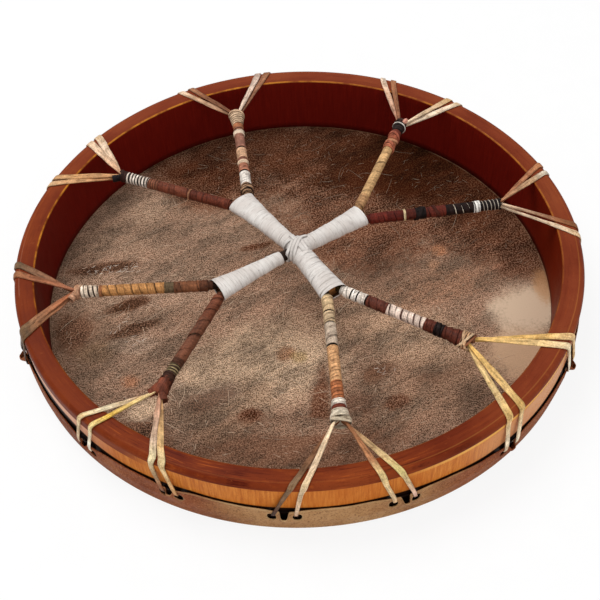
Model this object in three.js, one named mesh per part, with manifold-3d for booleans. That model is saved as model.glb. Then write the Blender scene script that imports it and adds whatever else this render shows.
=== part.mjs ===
// A shaman's frame drum: a bent-wood hoop, a hide drumhead laced to it with rawhide, and a cross-shaped
// hand grip that hangs in the lacing. The drum lies on its playing face, open side up.
// Millimetres, +Z up. The origin is the centre of the playing face, and bearings run anticlockwise from +X.
import * as THREE from "three";
import { mergeVertices } from "three/addons/utils/BufferGeometryUtils.js";
import Module from "manifold-3d";

const wasm = await Module();
wasm.setup();

// Hoop
const hoopDiameter = 500;
const hoopDepth = 60;
const hoopWall = 18.5;
const rimRound = 5; // round-over of the upper outer edge
const rimEase = 2; // eased upper inner edge
const bearingRound = 3; // lower outer edge, which the skin bends over

// Drumhead
const skinThickness = 1;
const hemHeight = 31; // turned-up edge of the skin, above the playing face
const hemFlareStart = 8; // where the hem leaves the wall to make room for the lace behind it
const hemFlareEnd = 18;
const slotHeight = 26; // lace slots, above the playing face
const slotPlay = 0.6; // room all round the lace in its slot

// Rawhide lace
const laceWidth = 5;
const laceThickness = 1.2;
const bundledWidth = 2.6; // width of a lace where four of them are gathered into a spoke
const strandGap = 0.35; // between the laces gathered in a spoke
const legSpread = 12; // between the two strands of a lace loop, along the rim
const slotSpread = 16; // between the two slots of a lace loop, along the hem
const slotDrift = 8; // the slots lie this much further from the fork than the strands do on the rim

// Spokes
const webDrop = 1.5; // spoke axes below the top of the rim
const wrapThickness = 1.1;
const wrapPitch = 8.6;
const whipLength = 22; // whipping that ends each spoke at its fork
const whipThickness = 1.6;
const whipPitch = 4.2;
const turnGap = 0.8; // between neighbouring turns of any winding
const forkInset = 42; // from the hoop's inner wall to a fork

// Cross grip
const hubOffset = 9; // the handmade cross hangs a little in front of the drum's centre
const gripReach = 74; // from the hub to an arm's mouth, for an arm of middling length
const gripWaist = 15.5; // across an arm at the hub
const gripMouth = 25.5; // across an arm's open end
const gripMouthHeight = 15; // of an arm's open end
const tapeThickness = 1.2;
const tapePitch = 9.6;
const coreInset = 3; // the tape reaches past the core at the end of each arm
const strandTail = 14; // length of lace held inside the grip's core
const channelWall = 1; // of the core, outside the channels that hold the laces
const lashWidth = 5; // cloth band that binds the crossing

// The four arms of the cross, each with the two spokes that leave its mouth, anticlockwise side first.
// A spoke has the bearing of its fork, and the bearings at which its two lace loops cross the rim.
// Where a loop's slots don't lie a whole slotDrift away from the fork, drift gives their share of it.
const arms = [
  {
    bearing: 128,
    reach: 1.09 * gripReach,
    waist: 1 * gripWaist,
    mouth: 1.1 * gripMouth,
    spokes: [
      { fork: 149, inset: 0.98 * forkInset, legs: [158, 142] },
      { fork: 107, inset: 1.05 * forkInset, legs: [116, 96] },
    ],
  },
  {
    bearing: 33,
    reach: 0.95 * gripReach,
    waist: 0.97 * gripWaist,
    mouth: 0.94 * gripMouth,
    spokes: [
      { fork: 55, inset: 1.02 * forkInset, legs: [66, 48] },
      { fork: 11, inset: 1.02 * forkInset, legs: [19, -1] },
    ],
  },
  {
    bearing: -61,
    reach: 0.82 * gripReach,
    waist: 1.23 * gripWaist,
    mouth: 1 * gripMouth,
    spokes: [
      { fork: -42, inset: 1.24 * forkInset, legs: [-31, -50] },
      { fork: -82, inset: 0.9 * forkInset, legs: [-76, -92] },
    ],
  },
  {
    bearing: -148,
    reach: 1.11 * gripReach,
    waist: 0.77 * gripWaist,
    mouth: 0.98 * gripMouth,
    spokes: [
      { fork: -126, inset: 0.95 * forkInset, legs: [-116, -132] },
      { fork: -166, inset: 0.83 * forkInset, legs: [-158, -176], drift: [-1.1, 1] },
    ],
  },
];

// Fits and facets
const fit = 0.3; // gap between pieces that touch
const hoopSides = 72;
const turnSteps = 8;
const coreSteps = 5;

// Sizes that follow
const hoopRadius = hoopDiameter / 2;
const innerRadius = hoopRadius - hoopWall;
const hoopBase = skinThickness + fit;
const rimTop = hoopBase + hoopDepth;
const webHeight = rimTop - webDrop;
const laceTop = rimTop + fit + laceThickness / 2;
const facetSag = hoopRadius * (1 - Math.cos(Math.PI / hoopSides));
const lacePocket = hoopRadius + fit + laceThickness / 2; // middle of a lace that lies on the hoop's wall
const hemInner = hoopRadius + fit + laceThickness + fit + facetSag;
const laceOnHem = hemInner + skinThickness + fit + laceThickness / 2;
const bundledThickness = (laceWidth * laceThickness) / bundledWidth; // the same hide, rolled narrower
const bundleHalfWidth = bundledWidth + strandGap / 2;
const bundleHalfHeight = bundledThickness + strandGap / 2;
const octagon = Math.cos(Math.PI / turnSteps);
const windingInner = (Math.hypot(bundleHalfWidth, bundleHalfHeight) + fit) / octagon;
const wrapOuter = windingInner + wrapThickness;
const tailOffset = bundleHalfWidth + 2 * fit; // of a spoke's laces from their arm's axis, at their inner end

const up = new THREE.Vector3(0, 0, 1);
const hub = new THREE.Vector3(0, -hubOffset, webHeight);
const radians = THREE.MathUtils.degToRad;
const outward = (bearing) => new THREE.Vector3(Math.cos(bearing), Math.sin(bearing), 0);
const leftOf = (direction) => new THREE.Vector3().crossVectors(up, direction);
const polar = (radius, bearing, z) => outward(bearing).multiplyScalar(radius).setZ(z);
const along = (start, direction, length) => start.clone().addScaledVector(direction, length);
const between = THREE.MathUtils.lerp;

// A geometry as a manifold solid, and back
function toSolid(geometry) {
  const bare = geometry.clone();
  bare.deleteAttribute("normal");
  bare.deleteAttribute("uv");
  const merged = mergeVertices(bare, 1e-3);
  const vertProperties = new Float32Array(merged.attributes.position.array);
  const triVerts = new Uint32Array(merged.index.array);
  return new wasm.Manifold(new wasm.Mesh({ numProp: 3, vertProperties, triVerts }));
}

function toGeometry(solid) {
  const mesh = solid.getMesh();
  const geometry = new THREE.BufferGeometry();
  geometry.setAttribute("position", new THREE.BufferAttribute(mesh.vertProperties, 3));
  geometry.setIndex(new THREE.BufferAttribute(mesh.triVerts, 1));
  geometry.computeVertexNormals();
  return geometry;
}

// A closed solid skinned over rings of corners, which run anticlockwise seen from ahead.
function loft(rings) {
  const sides = rings[0].length;
  const last = (rings.length - 1) * sides;
  const faces = [];
  for (let base = 0; base < last; base += sides) {
    for (let j = 0; j < sides; j++) {
      const a = base + j;
      const b = base + ((j + 1) % sides);
      faces.push(a, b, b + sides, a, b + sides, a + sides);
    }
  }
  for (let j = 1; j < sides - 1; j++) {
    faces.push(0, j + 1, j, last, last + j, last + j + 1);
  }
  const corners = rings.flat().flatMap((corner) => corner.toArray());
  const geometry = new THREE.BufferGeometry();
  geometry.setAttribute("position", new THREE.Float32BufferAttribute(corners, 3));
  geometry.setIndex(faces);
  geometry.computeVertexNormals();
  return geometry;
}

// A profile of [radius, height] points turned about the Z axis
function revolve(profile) {
  const points = profile.map(([radius, height]) => new THREE.Vector2(radius, height));
  return new THREE.LatheGeometry(points, hoopSides).rotateX(Math.PI / 2);
}

// Points of a quarter arc round a centre, from one angle to another
function arc(centreRadius, centreHeight, radius, fromDegrees, toDegrees, steps) {
  return Array.from({ length: steps + 1 }, (_, i) => {
    const angle = radians(between(fromDegrees, toDegrees, i / steps));
    return [centreRadius + radius * Math.cos(angle), centreHeight + radius * Math.sin(angle)];
  });
}

function makeHoop() {
  const rimCentre = [hoopRadius - rimRound, rimTop - rimRound];
  const easeCentre = [innerRadius + rimEase, rimTop - rimEase];
  const bearingCentre = [hoopRadius - bearingRound, hoopBase + bearingRound];
  const profile = [
    [innerRadius, hoopBase],
    ...arc(...bearingCentre, bearingRound, -90, 0, 2),
    ...arc(...rimCentre, rimRound, 0, 90, 4),
    ...arc(...easeCentre, rimEase, 90, 180, 2),
    [innerRadius, hoopBase],
  ];
  return revolve(profile);
}

// The skin covers the playing face, bends up round the hoop and ends in a hem that stands off the wall.
function makeDrumhead(loops) {
  const bend = [hoopRadius - bearingRound, hoopBase + bearingRound];
  const innerBend = bearingRound + fit;
  const outerBend = innerBend + skinThickness;
  const hemOuter = hemInner + skinThickness;
  const profile = [
    [0, 0],
    ...arc(...bend, outerBend, -90, 0, 2),
    [hoopRadius + fit + skinThickness, hemFlareStart],
    [hemOuter, hemFlareEnd],
    [hemOuter, hemHeight],
    [hemInner, hemHeight],
    [hemInner, hemFlareEnd],
    [hoopRadius + fit, hemFlareStart],
    ...arc(...bend, innerBend, 0, -90, 2),
    [0, skinThickness],
  ];
  const slots = loops.flatMap((loop) => loop.strands.map((strand) => makeSlot(strand.slotBearing)));
  return toGeometry(toSolid(revolve(profile)).subtract(wasm.Manifold.union(slots)));
}

// A round-ended cutter through the hem
function makeSlot(bearing) {
  const height = laceThickness + 2 * slotPlay;
  const shape = new THREE.Shape();
  shape.absarc(laceWidth / 2, 0, height / 2, -Math.PI / 2, Math.PI / 2, false);
  shape.absarc(-laceWidth / 2, 0, height / 2, Math.PI / 2, (3 * Math.PI) / 2, false);
  const depth = skinThickness + 2 * fit + 2 * facetSag;
  const cutter = new THREE.ExtrudeGeometry(shape, { depth, bevelEnabled: false, curveSegments: 1 });
  const radial = outward(bearing);
  const place = new THREE.Matrix4().makeBasis(leftOf(radial), up, radial);
  place.setPosition(polar(hemInner - fit - facetSag, bearing, slotHeight));
  return toSolid(cutter.applyMatrix4(place));
}

// Distance from an arm's axis at which a spoke's laces leave its mouth
function mouthOffset(arm) {
  return coreSize(arm, arm.reach - coreInset)[0] - channelWall - fit - bundleHalfWidth;
}

// The bent line that a spoke's four laces follow: inside the arm, the bend at its mouth, and the fork
function spokeLine(arm, spoke, side) {
  const axis = outward(radians(arm.bearing));
  const left = leftOf(axis);
  const tail = along(hub, axis, arm.reach - strandTail).addScaledVector(left, side * tailOffset);
  const bend = along(hub, axis, arm.reach).addScaledVector(left, side * mouthOffset(arm));
  const fork = polar(innerRadius - spoke.inset, radians(spoke.fork), webHeight);
  const inside = bend.clone().sub(tail).normalize();
  const direction = fork.clone().sub(bend).normalize();
  return { tail, bend, fork, inside, direction, lean: axis.angleTo(direction), offset: mouthOffset(arm) };
}

// A station of a lace: its middle, half its width and half its thickness
function station(middle, across, width, through, thickness) {
  return {
    middle,
    across: across.clone().multiplyScalar(width / 2),
    through: through.clone().multiplyScalar(thickness / 2),
  };
}

// One strand of a lace loop, from the grip to behind the hem
function strandStations(line, side, tier, rimBearing, slotBearing) {
  const gathered = gatheredStations(line, side, tier);
  const rise = (tier * (bundledThickness + strandGap)) / 2;
  const forkEnd = gathered.at(-1).middle;
  const rimEdge = polar(hoopRadius - rimRound, rimBearing, laceTop);
  const slant = rimEdge.clone().sub(forkEnd).setZ(0).normalize();
  const skew = laceWidth / slant.dot(outward(rimBearing));
  return [
    ...gathered,
    ...rimStations(forkEnd, rimEdge, rise, skew),
    ...hemStations(rimBearing, slotBearing, skew),
  ];
}

// In the spoke, where the four strands lie two by two
function gatheredStations(line, side, tier) {
  const lateral = (side * (bundledWidth + strandGap)) / 2;
  const rise = (tier * (bundledThickness + strandGap)) / 2;
  const gathered = (point, across, stretch) => {
    const middle = along(point, across, lateral * stretch).addScaledVector(up, rise);
    return station(middle, across, bundledWidth * stretch, up, bundledThickness);
  };
  const mitre = leftOf(line.inside.clone().add(line.direction).normalize());
  return [
    gathered(line.tail, leftOf(line.inside), 1),
    gathered(line.bend, mitre, 1 / mitre.dot(leftOf(line.direction))),
    gathered(line.fork, leftOf(line.direction), 1),
  ];
}

// From the fork the strand spreads out flat. On the rim its rings lie along the rim to hug every edge.
function rimStations(forkEnd, rimEdge, rise, skew) {
  const slant = rimEdge.clone().sub(forkEnd).setZ(0).normalize();
  const reachInner = crossing(forkEnd, rimEdge, innerRadius + rimEase);
  const early = forkEnd.clone().lerp(reachInner, 0.4);
  early.z = between(webHeight, laceTop, 0.4) + rise * 0.85;
  const earlyWidth = between(bundledWidth, laceWidth, 0.4);
  const earlyThickness = between(bundledThickness, laceThickness, 0.4);
  const onRim = [reachInner, rimEdge].map((middle) => {
    const bearing = Math.atan2(middle.y, middle.x);
    return station(middle, leftOf(outward(bearing)), skew, up, laceThickness);
  });
  return [station(early, leftOf(slant), earlyWidth, up, earlyThickness), ...onRim];
}

// Down the outside: round the rim's edge, over the hem and in through the slot
function hemStations(rimBearing, slotBearing, skew) {
  const overEdge = rimRound + fit + laceThickness / 2;
  const wallBearing = between(rimBearing, slotBearing, 0.25);
  const roundEdge = [60, 30, 0].map((degrees) => {
    const bearing = between(wallBearing, rimBearing, degrees / 90);
    const [radius, z] = arc(hoopRadius - rimRound, rimTop - rimRound, overEdge, degrees, degrees, 1)[0];
    const normal = outward(bearing).multiplyScalar(Math.cos(radians(degrees)));
    normal.addScaledVector(up, Math.sin(radians(degrees)));
    const width = between(laceWidth, skew, degrees / 90);
    return station(polar(radius, bearing, z), leftOf(outward(bearing)), width, normal, laceThickness);
  });
  const radial = outward(slotBearing);
  const tangent = leftOf(radial);
  const inward = radial.clone().sub(up);
  const pastHem = polar(laceOnHem, between(wallBearing, slotBearing, 0.8), hemHeight + 2 * laceThickness);
  const atSlot = polar(laceOnHem, slotBearing, slotHeight);
  const behindHem = polar(lacePocket, slotBearing, slotHeight);
  return [
    ...roundEdge,
    station(pastHem, tangent, laceWidth, radial, laceThickness),
    station(atSlot, tangent, laceWidth, inward, laceThickness),
    station(behindHem, tangent, laceWidth, up.clone().negate(), laceThickness),
  ];
}

// Where a straight line seen from above crosses a circle round the drum's axis
function crossing(start, end, radius) {
  const run = end.clone().sub(start);
  const a = run.x * run.x + run.y * run.y;
  const b = start.x * run.x + start.y * run.y;
  const c = start.x * start.x + start.y * start.y - radius * radius;
  const share = (Math.sqrt(b * b - a * c) - b) / a;
  return start.clone().addScaledVector(run, share).setZ(end.z);
}

function strip(stations) {
  const rings = stations.map(({ middle, across, through }) => [
    middle.clone().add(across).add(through),
    middle.clone().sub(across).add(through),
    middle.clone().sub(across).sub(through),
    middle.clone().add(across).sub(through),
  ]);
  return loft(rings);
}

// A lace loop: two strands out of the spoke, over the rim and through the hem, joined by a bight behind it
function makeLaceLoop(loop) {
  const [near, far] = loop.strands;
  const ends = loop.strands.map((strand) => polar(lacePocket, strand.slotBearing, slotHeight));
  const middle = (near.slotBearing + far.slotBearing) / 2;
  const length = ends[0].distanceTo(ends[1]) + laceWidth;
  const bight = new THREE.BoxGeometry(laceThickness, length, laceThickness + 2 * slotPlay);
  bight.rotateZ(middle);
  bight.translate(...polar(lacePocket, middle, slotHeight).toArray());
  const solids = loop.strands.map((strand) => toSolid(strip(strand.stations)));
  return toGeometry(wasm.Manifold.union([...solids, toSolid(bight)]));
}

// The rings of a flat band wound round an axis. size gives the band's inner and outer half width and
// half height at a distance along the axis.
function windingRings({ start, axis, from, to, pitch, size }) {
  const across = leftOf(axis);
  const width = pitch - turnGap;
  const steps = Math.floor(((to - from - width) / pitch) * turnSteps);
  const corner = (distance, angle, layer) => {
    const [halfWidth, halfHeight] = size(distance)[layer];
    return along(start, axis, distance)
      .addScaledVector(across, (halfWidth * Math.cos(angle)) / octagon)
      .addScaledVector(up, (halfHeight * Math.sin(angle)) / octagon);
  };
  return Array.from({ length: steps + 1 }, (_, k) => {
    const angle = ((k + 0.5) * 2 * Math.PI) / turnSteps;
    const near = from + ((to - from - width) * k) / steps;
    const far = near + width;
    return [corner(far, angle, 1), corner(near, angle, 1), corner(near, angle, 0), corner(far, angle, 0)];
  });
}

// The least distance between points of a winding that lie at least half a turn apart along it
function leastGap(rings) {
  let least = Infinity;
  for (let i = 0; i < rings.length; i++) {
    for (let j = i + turnSteps / 2; j < rings.length; j++) {
      for (const a of rings[i]) {
        for (const b of rings[j]) least = Math.min(least, a.distanceTo(b));
      }
    }
  }
  return least;
}

function makeWinding(name, winding) {
  const rings = windingRings(winding);
  console.log(`${name}: least gap to itself ${leastGap(rings).toFixed(2)} mm`);
  return loft(rings);
}

// Winding on a spoke, from one distance to another along its line
function spokeWinding(name, line, from, to, pitch, thickness) {
  const inner = windingInner * octagon;
  const outer = inner + thickness;
  const size = () => [[inner, inner], [outer, outer]];
  return makeWinding(name, { start: line.bend, axis: line.direction, from, to, pitch, size });
}

// Where a spoke's wrapping can start, clear of its neighbour and of the end of the arm
function wrapStart(line) {
  const sine = Math.sin(line.lean);
  const cosine = Math.cos(line.lean);
  const clearOfPair = (wrapOuter * cosine + fit - line.offset) / sine;
  const clearOfArm = (wrapOuter * sine + fit) / cosine;
  return Math.max(clearOfPair, clearOfArm);
}

// Half width and half height of the grip's core, under its tape, at a distance from the hub
function coreSize(arm, distance) {
  const flare = (distance / arm.reach) ** 2;
  const outer = [between(arm.waist, arm.mouth, flare), between(arm.waist, gripMouthHeight, flare)];
  return outer.map((size) => size / 2 - tapeThickness - fit);
}

// An eight-sided oval ring square to an arm
function coreRing(arm, distance) {
  const axis = outward(radians(arm.bearing));
  const across = leftOf(axis);
  const [halfWidth, halfHeight] = coreSize(arm, distance);
  return Array.from({ length: turnSteps }, (_, k) => {
    const angle = ((k + 0.5) * 2 * Math.PI) / turnSteps;
    return along(hub, axis, distance)
      .addScaledVector(across, (halfWidth * Math.cos(angle)) / octagon)
      .addScaledVector(up, (halfHeight * Math.sin(angle)) / octagon);
  });
}

// The padded core of the cross, with a channel for each spoke's laces
function makeGripCore() {
  const bars = arms.map((arm) => {
    const rings = Array.from({ length: coreSteps + 1 }, (_, k) => {
      return coreRing(arm, ((arm.reach - coreInset) * k) / coreSteps);
    });
    return toSolid(loft(rings));
  });
  const channels = arms.flatMap((arm) => [1, -1].map((side) => makeChannel(arm, side)));
  return toGeometry(wasm.Manifold.union(bars).subtract(wasm.Manifold.union(channels)));
}

function makeChannel(arm, side) {
  const run = new THREE.Vector2(strandTail, side * (mouthOffset(arm) - tailOffset));
  const length = run.length() + fit;
  const box = new THREE.BoxGeometry(length, 2 * (bundleHalfWidth + fit), 2 * (bundleHalfHeight + fit));
  box.translate(length / 2 - fit, 0, 0);
  box.rotateZ(run.angle());
  box.translate(arm.reach - strandTail, side * tailOffset, 0);
  box.rotateZ(radians(arm.bearing));
  return toSolid(box.translate(...hub.toArray()));
}

// Cotton tape wound over one arm, from clear of the neighbouring arms to the arm's end
function makeGripWrap(name, arm) {
  const size = (distance) => {
    const [halfWidth, halfHeight] = coreSize(arm, distance);
    const inner = [halfWidth + fit, halfHeight + fit];
    return [inner, inner.map((half) => half + tapeThickness)];
  };
  const i = arms.indexOf(arm);
  const from = Math.max(notches[i].clear, notches.at(i - 1).clear);
  const axis = outward(radians(arm.bearing));
  return makeWinding(name, { start: hub, axis, from, to: arm.reach, pitch: tapePitch, size });
}

// The corner between two neighbouring arms: its direction from the hub, the distance at which a band fits
// between the arms, and how far along the arms the band and the other arm's tape reach
function makeNotch(arm, next) {
  const direction = outward(radians(arm.bearing)).add(outward(radians(next.bearing))).normalize();
  const half = direction.angleTo(outward(radians(arm.bearing)));
  const sine = Math.sin(half);
  const cosine = Math.cos(half);
  const widest = Math.max(coreSize(arm, arm.waist)[0], coreSize(next, next.waist)[0]);
  const seat = (widest + fit + (lashWidth / 2) * cosine) / sine;
  const bandReach = (seat + tapeThickness) * cosine + (lashWidth / 2) * sine;
  const tapeReach = ((widest + fit + tapeThickness) * cosine) / sine;
  const clear = Math.max(bandReach, tapeReach) + fit;
  return { direction, distance: seat + tapeThickness / 2, clear };
}

// The cloth band that binds the crossing: over the top between two opposite notches, under one arm,
// over the top between the other two notches, and under the opposite arm.
function makeLashing() {
  const heights = arms.flatMap((arm, i) => [coreSize(arm, 0)[1], coreSize(arm, notches[i].clear)[1]]);
  const low = Math.max(...heights) + fit + tapeThickness / 2;
  const high = low + tapeThickness + fit;
  const [north, east, south, west] = notches;
  const stations = [
    ...lashUp(north, low, low),
    ...lashDown(south, low, low),
    ...lashUp(east, low, high),
    ...lashDown(west, high, low),
  ];
  const end = stations.at(-1).middle.clone().lerp(stations[0].middle, 0.5);
  const travel = stations[0].middle.clone().sub(stations.at(-1).middle).normalize();
  stations.push(lashStation(end, up.clone().negate(), travel));
  return strip(stations);
}

function lashStation(middle, normal, travel) {
  const across = new THREE.Vector3().crossVectors(normal, travel).normalize();
  return {
    middle,
    across: across.multiplyScalar(lashWidth / 2),
    through: normal.clone().multiplyScalar(tapeThickness / 2),
  };
}

// The band's two corners where it climbs or drops through a notch
function lashUp(notch, low, high) {
  const foot = along(hub, notch.direction, notch.distance).addScaledVector(up, -low);
  const head = along(hub, notch.direction, notch.distance).addScaledVector(up, high);
  const footNormal = notch.direction.clone().sub(up);
  const headNormal = notch.direction.clone().add(up);
  return [lashStation(foot, footNormal, up), lashStation(head, headNormal, up)];
}

function lashDown(notch, high, low) {
  const down = up.clone().negate();
  const head = along(hub, notch.direction, notch.distance).addScaledVector(up, high);
  const foot = along(hub, notch.direction, notch.distance).addScaledVector(up, -low);
  const headNormal = notch.direction.clone().add(up);
  const footNormal = notch.direction.clone().sub(up);
  return [lashStation(head, headNormal, down), lashStation(foot, footNormal, down)];
}

// Both lace loops of a spoke. The loop on the anticlockwise side is a, the other b.
function spokeLoops(number, line, spoke) {
  const { legs, drift = [1, 1] } = spoke;
  return [1, -1].map((side, i) => {
    const leg = radians(legs[i]);
    const slots = leg + (side * drift[i] * slotDrift) / hoopRadius;
    const strands = [1, -1].map((tier) => {
      const away = -side * tier;
      const rimBearing = leg + (away * legSpread) / 2 / hoopRadius;
      const slotBearing = slots + (away * slotSpread) / 2 / hoopRadius;
      const stations = strandStations(line, side, tier, rimBearing, slotBearing);
      return { slotBearing, stations };
    });
    return { name: `lace_loop_${number}${"ab"[i]}`, strands };
  });
}

// Materials
const finish = (color, roughness) => new THREE.MeshStandardMaterial({ color, roughness, metalness: 0 });
const stainedWood = finish(0x8a3d20, 0.42);
const hide = finish(0x77614d, 0.8);
const rawhide = finish(0xc4a078, 0.62);
const darkLace = finish(0x6b3a24, 0.65);
const paleLace = finish(0xb59673, 0.65);
const cotton = finish(0xe6e1d8, 0.9);

// Assembly
const drum = new THREE.Group();
function add(name, geometry, material) {
  const mesh = new THREE.Mesh(geometry, material);
  mesh.name = name;
  drum.add(mesh);
}

const notches = arms.map((arm, i) => makeNotch(arm, arms[(i + 1) % arms.length]));
const allLoops = [];
arms.forEach((arm, i) => {
  add(`grip_wrap_${i + 1}`, makeGripWrap(`grip_wrap_${i + 1}`, arm), cotton);
  arm.spokes.forEach((spoke, j) => {
    const number = 2 * i + j + 1;
    const line = spokeLine(arm, spoke, j === 0 ? 1 : -1);
    const end = line.bend.distanceTo(line.fork);
    const change = end - whipLength;
    const wrap = `spoke_wrap_${number}`;
    const whip = `fork_whipping_${number}`;
    add(wrap, spokeWinding(wrap, line, wrapStart(line), change, wrapPitch, wrapThickness), darkLace);
    add(whip, spokeWinding(whip, line, change + turnGap, end - fit, whipPitch, whipThickness), paleLace);
    allLoops.push(...spokeLoops(number, line, spoke));
  });
});
for (const loop of allLoops) {
  add(loop.name, makeLaceLoop(loop), rawhide);
}
add("grip_core", makeGripCore(), cotton);
add("centre_lashing", makeLashing(), cotton);
add("hoop", makeHoop(), stainedWood);
add("drumhead", makeDrumhead(allLoops), hide);

export default drum;
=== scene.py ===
"""The looks of a shaman's frame drum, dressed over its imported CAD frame, in the CAD's own axes."""
import math
import random
from collections import namedtuple

import bmesh
import bpy
import numpy as np
from mathutils import Matrix, Vector


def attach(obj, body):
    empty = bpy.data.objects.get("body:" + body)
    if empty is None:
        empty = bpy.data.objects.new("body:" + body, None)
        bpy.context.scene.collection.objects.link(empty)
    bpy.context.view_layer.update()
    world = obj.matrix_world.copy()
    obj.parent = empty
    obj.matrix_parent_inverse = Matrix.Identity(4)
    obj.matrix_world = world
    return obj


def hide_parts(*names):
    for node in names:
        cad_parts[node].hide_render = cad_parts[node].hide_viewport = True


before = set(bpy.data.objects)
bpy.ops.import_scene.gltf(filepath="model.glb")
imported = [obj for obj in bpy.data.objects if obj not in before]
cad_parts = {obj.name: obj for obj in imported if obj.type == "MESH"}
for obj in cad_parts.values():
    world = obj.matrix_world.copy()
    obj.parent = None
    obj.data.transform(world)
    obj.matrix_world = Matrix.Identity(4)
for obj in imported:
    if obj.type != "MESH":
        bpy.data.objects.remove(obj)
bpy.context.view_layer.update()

# Sizes in millimetres, as the CAD has them. Shapes are worked out in millimetres and made in metres.
MM = 0.001
HOOP_RADIUS = 250.0
INNER_RADIUS = 231.5
HOOP_BASE = 1.3
RIM_TOP = 61.3
RIM_ROUND = 5.0
RIM_EASE = 2.0
BEARING_ROUND = 3.0
SKIN = 1.0
HEM_HEIGHT = 31.0
HEM_FLARE_START = 8.0
HEM_FLARE_END = 18.0
HEM_INNER = 252.04
SLOT_HEIGHT = 26.0
LACE_WIDTH = 5.0
LACE_THICKNESS = 1.2
BUNDLED_WIDTH = 2.6
BUNDLED_THICKNESS = LACE_WIDTH * LACE_THICKNESS / BUNDLED_WIDTH
STRAND_GAP = 0.35
LEG_SPREAD = 12.0
SLOT_SPREAD = 16.0
SLOT_DRIFT = 8.0
FIT = 0.3
WEB_HEIGHT = 59.8
LACE_TOP = RIM_TOP + FIT + LACE_THICKNESS / 2
LACE_POCKET = HOOP_RADIUS + FIT + LACE_THICKNESS / 2
EDGE_ROUND = RIM_ROUND + FIT + LACE_THICKNESS / 2  # of a lace's bend over the rim
SHARP_EDGE = 3.6  # the same, where the laces are pulled tight
PULLED_TIGHT = (5, 6, 7)
EDGE_LOW = 54.0
WHIP_LENGTH = 22.0
WINDING_INNER = 4.05
TAPE = 1.5
STRAND_TAIL = 14.0
CORE_INSET = 3.0
MOUTH_HEIGHT = 15.0
HUB = np.array([0.0, -9.0, WEB_HEIGHT])
UP = np.array([0.0, 0.0, 1.0])
# How far out of round the hoop is: shares of the cosine and the sine of 0, 1, 2 and 3 times the bearing
OUT_OF_ROUND = [(0.18, 0), (0.74, 1.3), (-0.11, -0.62), (-0.23, -0.31)]
SIDES = (1, -1)
ROUND = np.linspace(0, 360, 720, endpoint=False)  # the bearings of the hoop's sections

# The arms of the cross: bearing, reach, waist, mouth, and its spokes with the fork's bearing, the fork's
# distance from the wall, the bearings of the two legs and how far their slots drift away from the fork
ARMS = [
    (128, 80.66, 15.5, 28.05, [(149, 41.16, (158, 142), (1, 1)), (107, 44.1, (116, 96), (1, 1))]),
    (33, 70.3, 15.03, 23.97, [(55, 42.84, (66, 48), (1, 1)), (11, 42.84, (19, -1), (1, 1))]),
    (-61, 60.68, 19.06, 25.5, [(-42, 52.08, (-31, -50), (1, 1)), (-82, 37.8, (-76, -92), (1, 1))]),
    (-148, 82.14, 11.94, 24.99, [(-126, 39.9, (-116, -132), (1, 1)), (-166, 34.86, (-158, -176), (-1.1, 1))]),
]

Axis = namedtuple("Axis", "origin direction across up", defaults=(UP,))
Line = namedtuple("Line", "tail bend fork inside direction axis length legs drifts")
Strand = namedtuple("Strand", "tier on_rim turn turn_height slot")


def tone(red, green, blue):
    """A linear colour from the 0 to 255 numbers of a colour on the screen."""
    c = np.array([red, green, blue], float) / 255
    return np.where(c <= 0.04045, c / 12.92, ((c + 0.055) / 1.055) ** 2.4)


def outward(bearing):
    a = math.radians(bearing)
    return np.array([math.cos(a), math.sin(a), 0.0])


def left_of(direction):
    return np.array([-direction[1], direction[0], 0.0])


def unit(vector):
    return vector / np.linalg.norm(vector)


def unit_rows(rows):
    return rows / np.linalg.norm(rows, axis=1)[:, None]


def smooth_step(low, high, x):
    t = np.clip((np.asarray(x, float) - low) / (high - low), 0, 1)
    return t * t * (3 - 2 * t)


def wave(x, seed, lengths):
    """A smooth wobble of about -1 to 1 along x, with the given wave lengths."""
    draw = random.Random(seed)
    total = sum(np.sin(2 * math.pi * (x / length + draw.random())) for length in lengths)
    return total / len(lengths)


def settle(points):
    """The handmade hoop isn't quite round, and what lies on its rim goes out and in with it."""
    radius = np.hypot(points[:, 0], points[:, 1])
    a = np.arctan2(points[:, 1], points[:, 0])
    out = sum(cos * np.cos(k * a) + sin * np.sin(k * a) for k, (cos, sin) in enumerate(OUT_OF_ROUND))
    share = smooth_step(INNER_RADIUS + RIM_EASE, HOOP_RADIUS, radius)
    scale = 1 + out * share / np.maximum(radius, 1)
    return points * np.stack([scale, scale, np.ones_like(scale)], 1)


# Meshes


def travelled(points):
    """How far along their line each point is from the first."""
    return np.concatenate([[0], np.cumsum(np.linalg.norm(np.diff(points, axis=0), axis=1))])


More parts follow.
